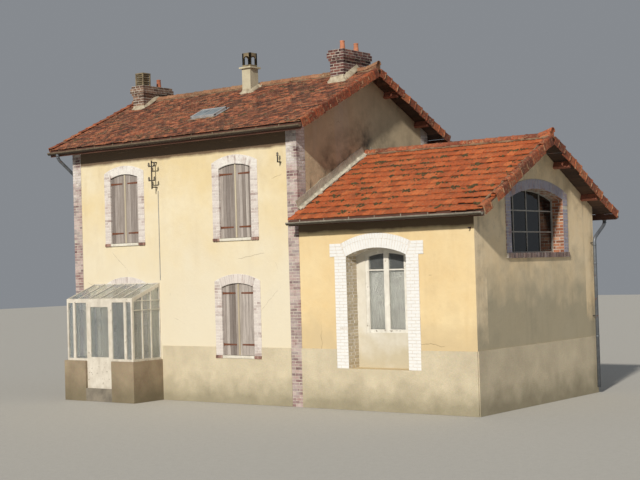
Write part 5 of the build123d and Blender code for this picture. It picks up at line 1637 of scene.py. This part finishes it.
# Pleated curtains behind the front casement of the hall
curtain = {"gap": 0.024, "half": 0.600, "top": 3.384, "foot": 1.915, "pleats": 9, "deep": 0.015}
curtainLow, curtainHigh = span("hall_curtains")
curtainY = (curtainLow[1] + curtainHigh[1]) / 2
for leaf, name in ((-1, "left"), (1, "right")):
    across, down = np.meshgrid(np.linspace(0, 1, 181), np.linspace(0, 1, 33))
    x = hallArch["centre"] + leaf * (curtain["gap"] + (curtain["half"] - curtain["gap"]) * across)
    phase = 2 * math.pi * curtain["pleats"] * across + 0.7 * np.sin(3 * down + leaf) + leaf
    fold = curtain["deep"] * (0.55 + 0.45 * down) * np.sin(phase)
    fold = fold * (1 + 0.25 * np.sin(5.3 * across * 2 * math.pi + leaf))
    z = curtain["top"] - (curtain["top"] - curtain["foot"]) * down
    z = z + 0.004 * np.sin(phase + 1) * down
    points = np.stack([x, curtainY + np.clip(fold, -0.0175, 0.0175), z], axis=-1)
    steps = np.linalg.norm(np.diff(points, axis=1), axis=-1).sum(axis=1).mean()
    drop = np.linalg.norm(np.diff(points, axis=0), axis=-1).sum(axis=0).mean()
    index = np.arange(points[..., 0].size).reshape(across.shape)
    quads = np.stack([index[:-1, :-1], index[:-1, 1:], index[1:, 1:], index[1:, :-1]], axis=-1)
    quads = quads.reshape(-1, 4)
    if leaf > 0:
        quads = quads[:, ::-1]
    cloth = addPiece(f"hall_curtain_{name}", (points.reshape(-1, 3), [quads]), cottonCloth,
                     "curtain_cloth", ["hall_curtains"], smooth=True,
                     across=(across * steps).ravel(), down=(down * drop).ravel())
    thick = cloth.modifiers.new("cloth", "SOLIDIFY")
    thick.thickness = 0.0012
    thick.offset = 0

# Iron bracket with insulators, and the small hook by the right corner
bracket = {"x": house["left"] + 3.41, "top": 6.52, "reach": 0.22, "bar": 0.028, "rise": 0.78,
           "arm": 0.12, "upperDrop": 0.17, "lowerDrop": 0.56, "stayDrop": 0.06, "footRise": 0.04,
           "hookX": house["left"] + 7.82, "hookZ": 6.15, "hookReach": 0.15, "hookRise": 0.17}
b = bracket["bar"] / 2
frontY = house["front"] - bracket["reach"]
foot = bracket["top"] - bracket["rise"]
ironwork = [bar(bracket["x"], b, frontY, frontY + 2 * b, foot, bracket["top"])]
for level in (bracket["top"] - bracket["stayDrop"], foot + bracket["footRise"]):
    ironwork.append(bar(bracket["x"], b, frontY, house["front"], level, level + 2 * b))
insulators = []
bell = [(0.013, 0.0), (0.031, 0.0), (0.034, 0.008), (0.031, 0.023), (0.022, 0.031), (0.021, 0.039),
        (0.029, 0.047), (0.030, 0.060), (0.023, 0.070), (0.016, 0.081), (0.017, 0.091)]
for drop in (bracket["upperDrop"], bracket["lowerDrop"]):
    level = bracket["top"] - drop
    ironwork.append(bar(bracket["x"], bracket["arm"], frontY + 0.004, frontY + 2 * b - 0.004, level,
                        level + 2 * b))
    for end in (-1, 1):
        insulators.append(turned(bell, (bracket["x"] + end * (bracket["arm"] - 0.015), frontY + b,
                                        level + 2 * b), 18))
hookY = house["front"] - bracket["hookReach"]
for endY, rise in ((house["front"], 2 * b), (hookY + 2 * b, bracket["hookRise"])):
    ironwork.append(bar(bracket["hookX"], b, hookY, endY, bracket["hookZ"],
                        bracket["hookZ"] + rise))
insulators.append(turned(bell, (bracket["hookX"], hookY + b,
                                bracket["hookZ"] + bracket["hookRise"]), 18))
# a stub and an insulator by the hall's corner, and the rod that ties its verges at the apex
corner = {"x": house["end"] - 0.09, "stub": 4.25, "stubReach": 0.10, "arm": 4.60, "armReach": 0.30,
          "rodFall": 0.45, "rodHalf": 0.43, "rod": 0.008}
armY = house["front"] - corner["armReach"]
ironwork.append(bar(corner["x"], b, house["front"] - corner["stubReach"], house["front"],
                    corner["stub"], corner["stub"] + 3 * b))
ironwork.append(bar(corner["x"], b / 2, armY, house["front"], corner["arm"], corner["arm"] + b))
insulators.append(turned(bell, (corner["x"], armY + 0.03, corner["arm"] - bell[-1][1]), 18))
hallSlope = slopes["annex", -1]
rodX, rodZ = hallSlope.x1 + 0.008, hallSlope.ridge - corner["rodFall"]
ironwork.append(tube([(rodX, -corner["rodHalf"], rodZ - 0.04),
                      (rodX, corner["rodHalf"], rodZ + 0.04)], corner["rod"], 8))
addPiece("wire_bracket_iron", joined(ironwork), darkIron, "grey_iron", ["wire_bracket"],
         bevel=0.003)
addPiece("insulators", joined(insulators), porcelain, "white_paint", smooth=True)
transoms = {"levels": (2.47, 2.72), "thick": 0.022, "depth": 0.03, "inset": 0.01}
porchSides = [span("porch_frame")[0][0] + transoms["inset"],
              span("porch_frame")[1][0] - transoms["inset"]]
rails = [bar(x, transoms["depth"] / 2, span("porch_glass")[0][1] + 0.03, house["front"] - 0.02,
             level - transoms["thick"] / 2, level + transoms["thick"] / 2)
         for level in transoms["levels"] for x in porchSides]
addPiece("porch_transoms", joined(rails), porchPaint, "white_paint", bevel=0.002)
print("joinery and ironwork done")

# Camera where the picture was taken, soft sun from the same side, plain pale floor
view = {"place": (24.352, -28.102, 3.45), "yaw": 0.661, "pitch": 0.022, "roll": -0.029,
        "lens": 72.46}
forward = np.array([-math.sin(view["yaw"]) * math.cos(view["pitch"]),
                    math.cos(view["yaw"]) * math.cos(view["pitch"]), math.sin(view["pitch"])])
level = np.array([math.cos(view["yaw"]), math.sin(view["yaw"]), 0.0])
upright = np.cross(level, forward)
rightward = level * math.cos(view["roll"]) + upright * math.sin(view["roll"])
upward = -level * math.sin(view["roll"]) + upright * math.cos(view["roll"])
cameraData = bpy.data.cameras.new("camera")
cameraData.lens = view["lens"]
cameraData.sensor_width = 36
cameraData.clip_end = 200
camera = bpy.data.objects.new("camera", cameraData)
bpy.context.scene.collection.objects.link(camera)
rows = [[rightward[i], upward[i], -forward[i], view["place"][i]] for i in range(3)]
camera.matrix_world = Matrix(rows + [[0, 0, 0, 1]])
bpy.context.scene.camera = camera

light = {"sun": 3.7, "sunSize": 2.5, "sunColour": (1.0, 0.94, 0.84), "from": (0.29, -1.0, 0.58),
         "sky": 0.30, "skyColour": (0.80, 0.85, 0.92, 1)}
sunData = bpy.data.lights.new("key", "SUN")
sunData.energy = light["sun"]
sunData.angle = math.radians(light["sunSize"])
sunData.color = light["sunColour"]
sun = bpy.data.objects.new("key", sunData)
sun.rotation_euler = Vector(light["from"]).to_track_quat("Z", "Y").to_euler()
bpy.context.scene.collection.objects.link(sun)
world = bpy.data.worlds.new("studio")
world.use_nodes = True
world.node_tree.nodes["Background"].inputs[0].default_value = light["skyColour"]
world.node_tree.nodes["Background"].inputs[1].default_value = light["sky"]
bpy.context.scene.world = world
bpy.context.scene.view_settings.view_transform = "Standard"

floorMesh = bpy.data.meshes.new("studio_floor")
far, low = 90, -0.002
floorMesh.from_pydata([(-far, -far, low), (far, -far, low), (far, far, low), (-far, far, low)], [],
                      [(0, 1, 2, 3)])
floor = bpy.data.objects.new("studio_floor", floorMesh)
bpy.context.scene.collection.objects.link(floor)
floorMesh.materials.append(mortarSkin("studio floor", (186, 184, 178), (180, 178, 172)))

print("scene ready")
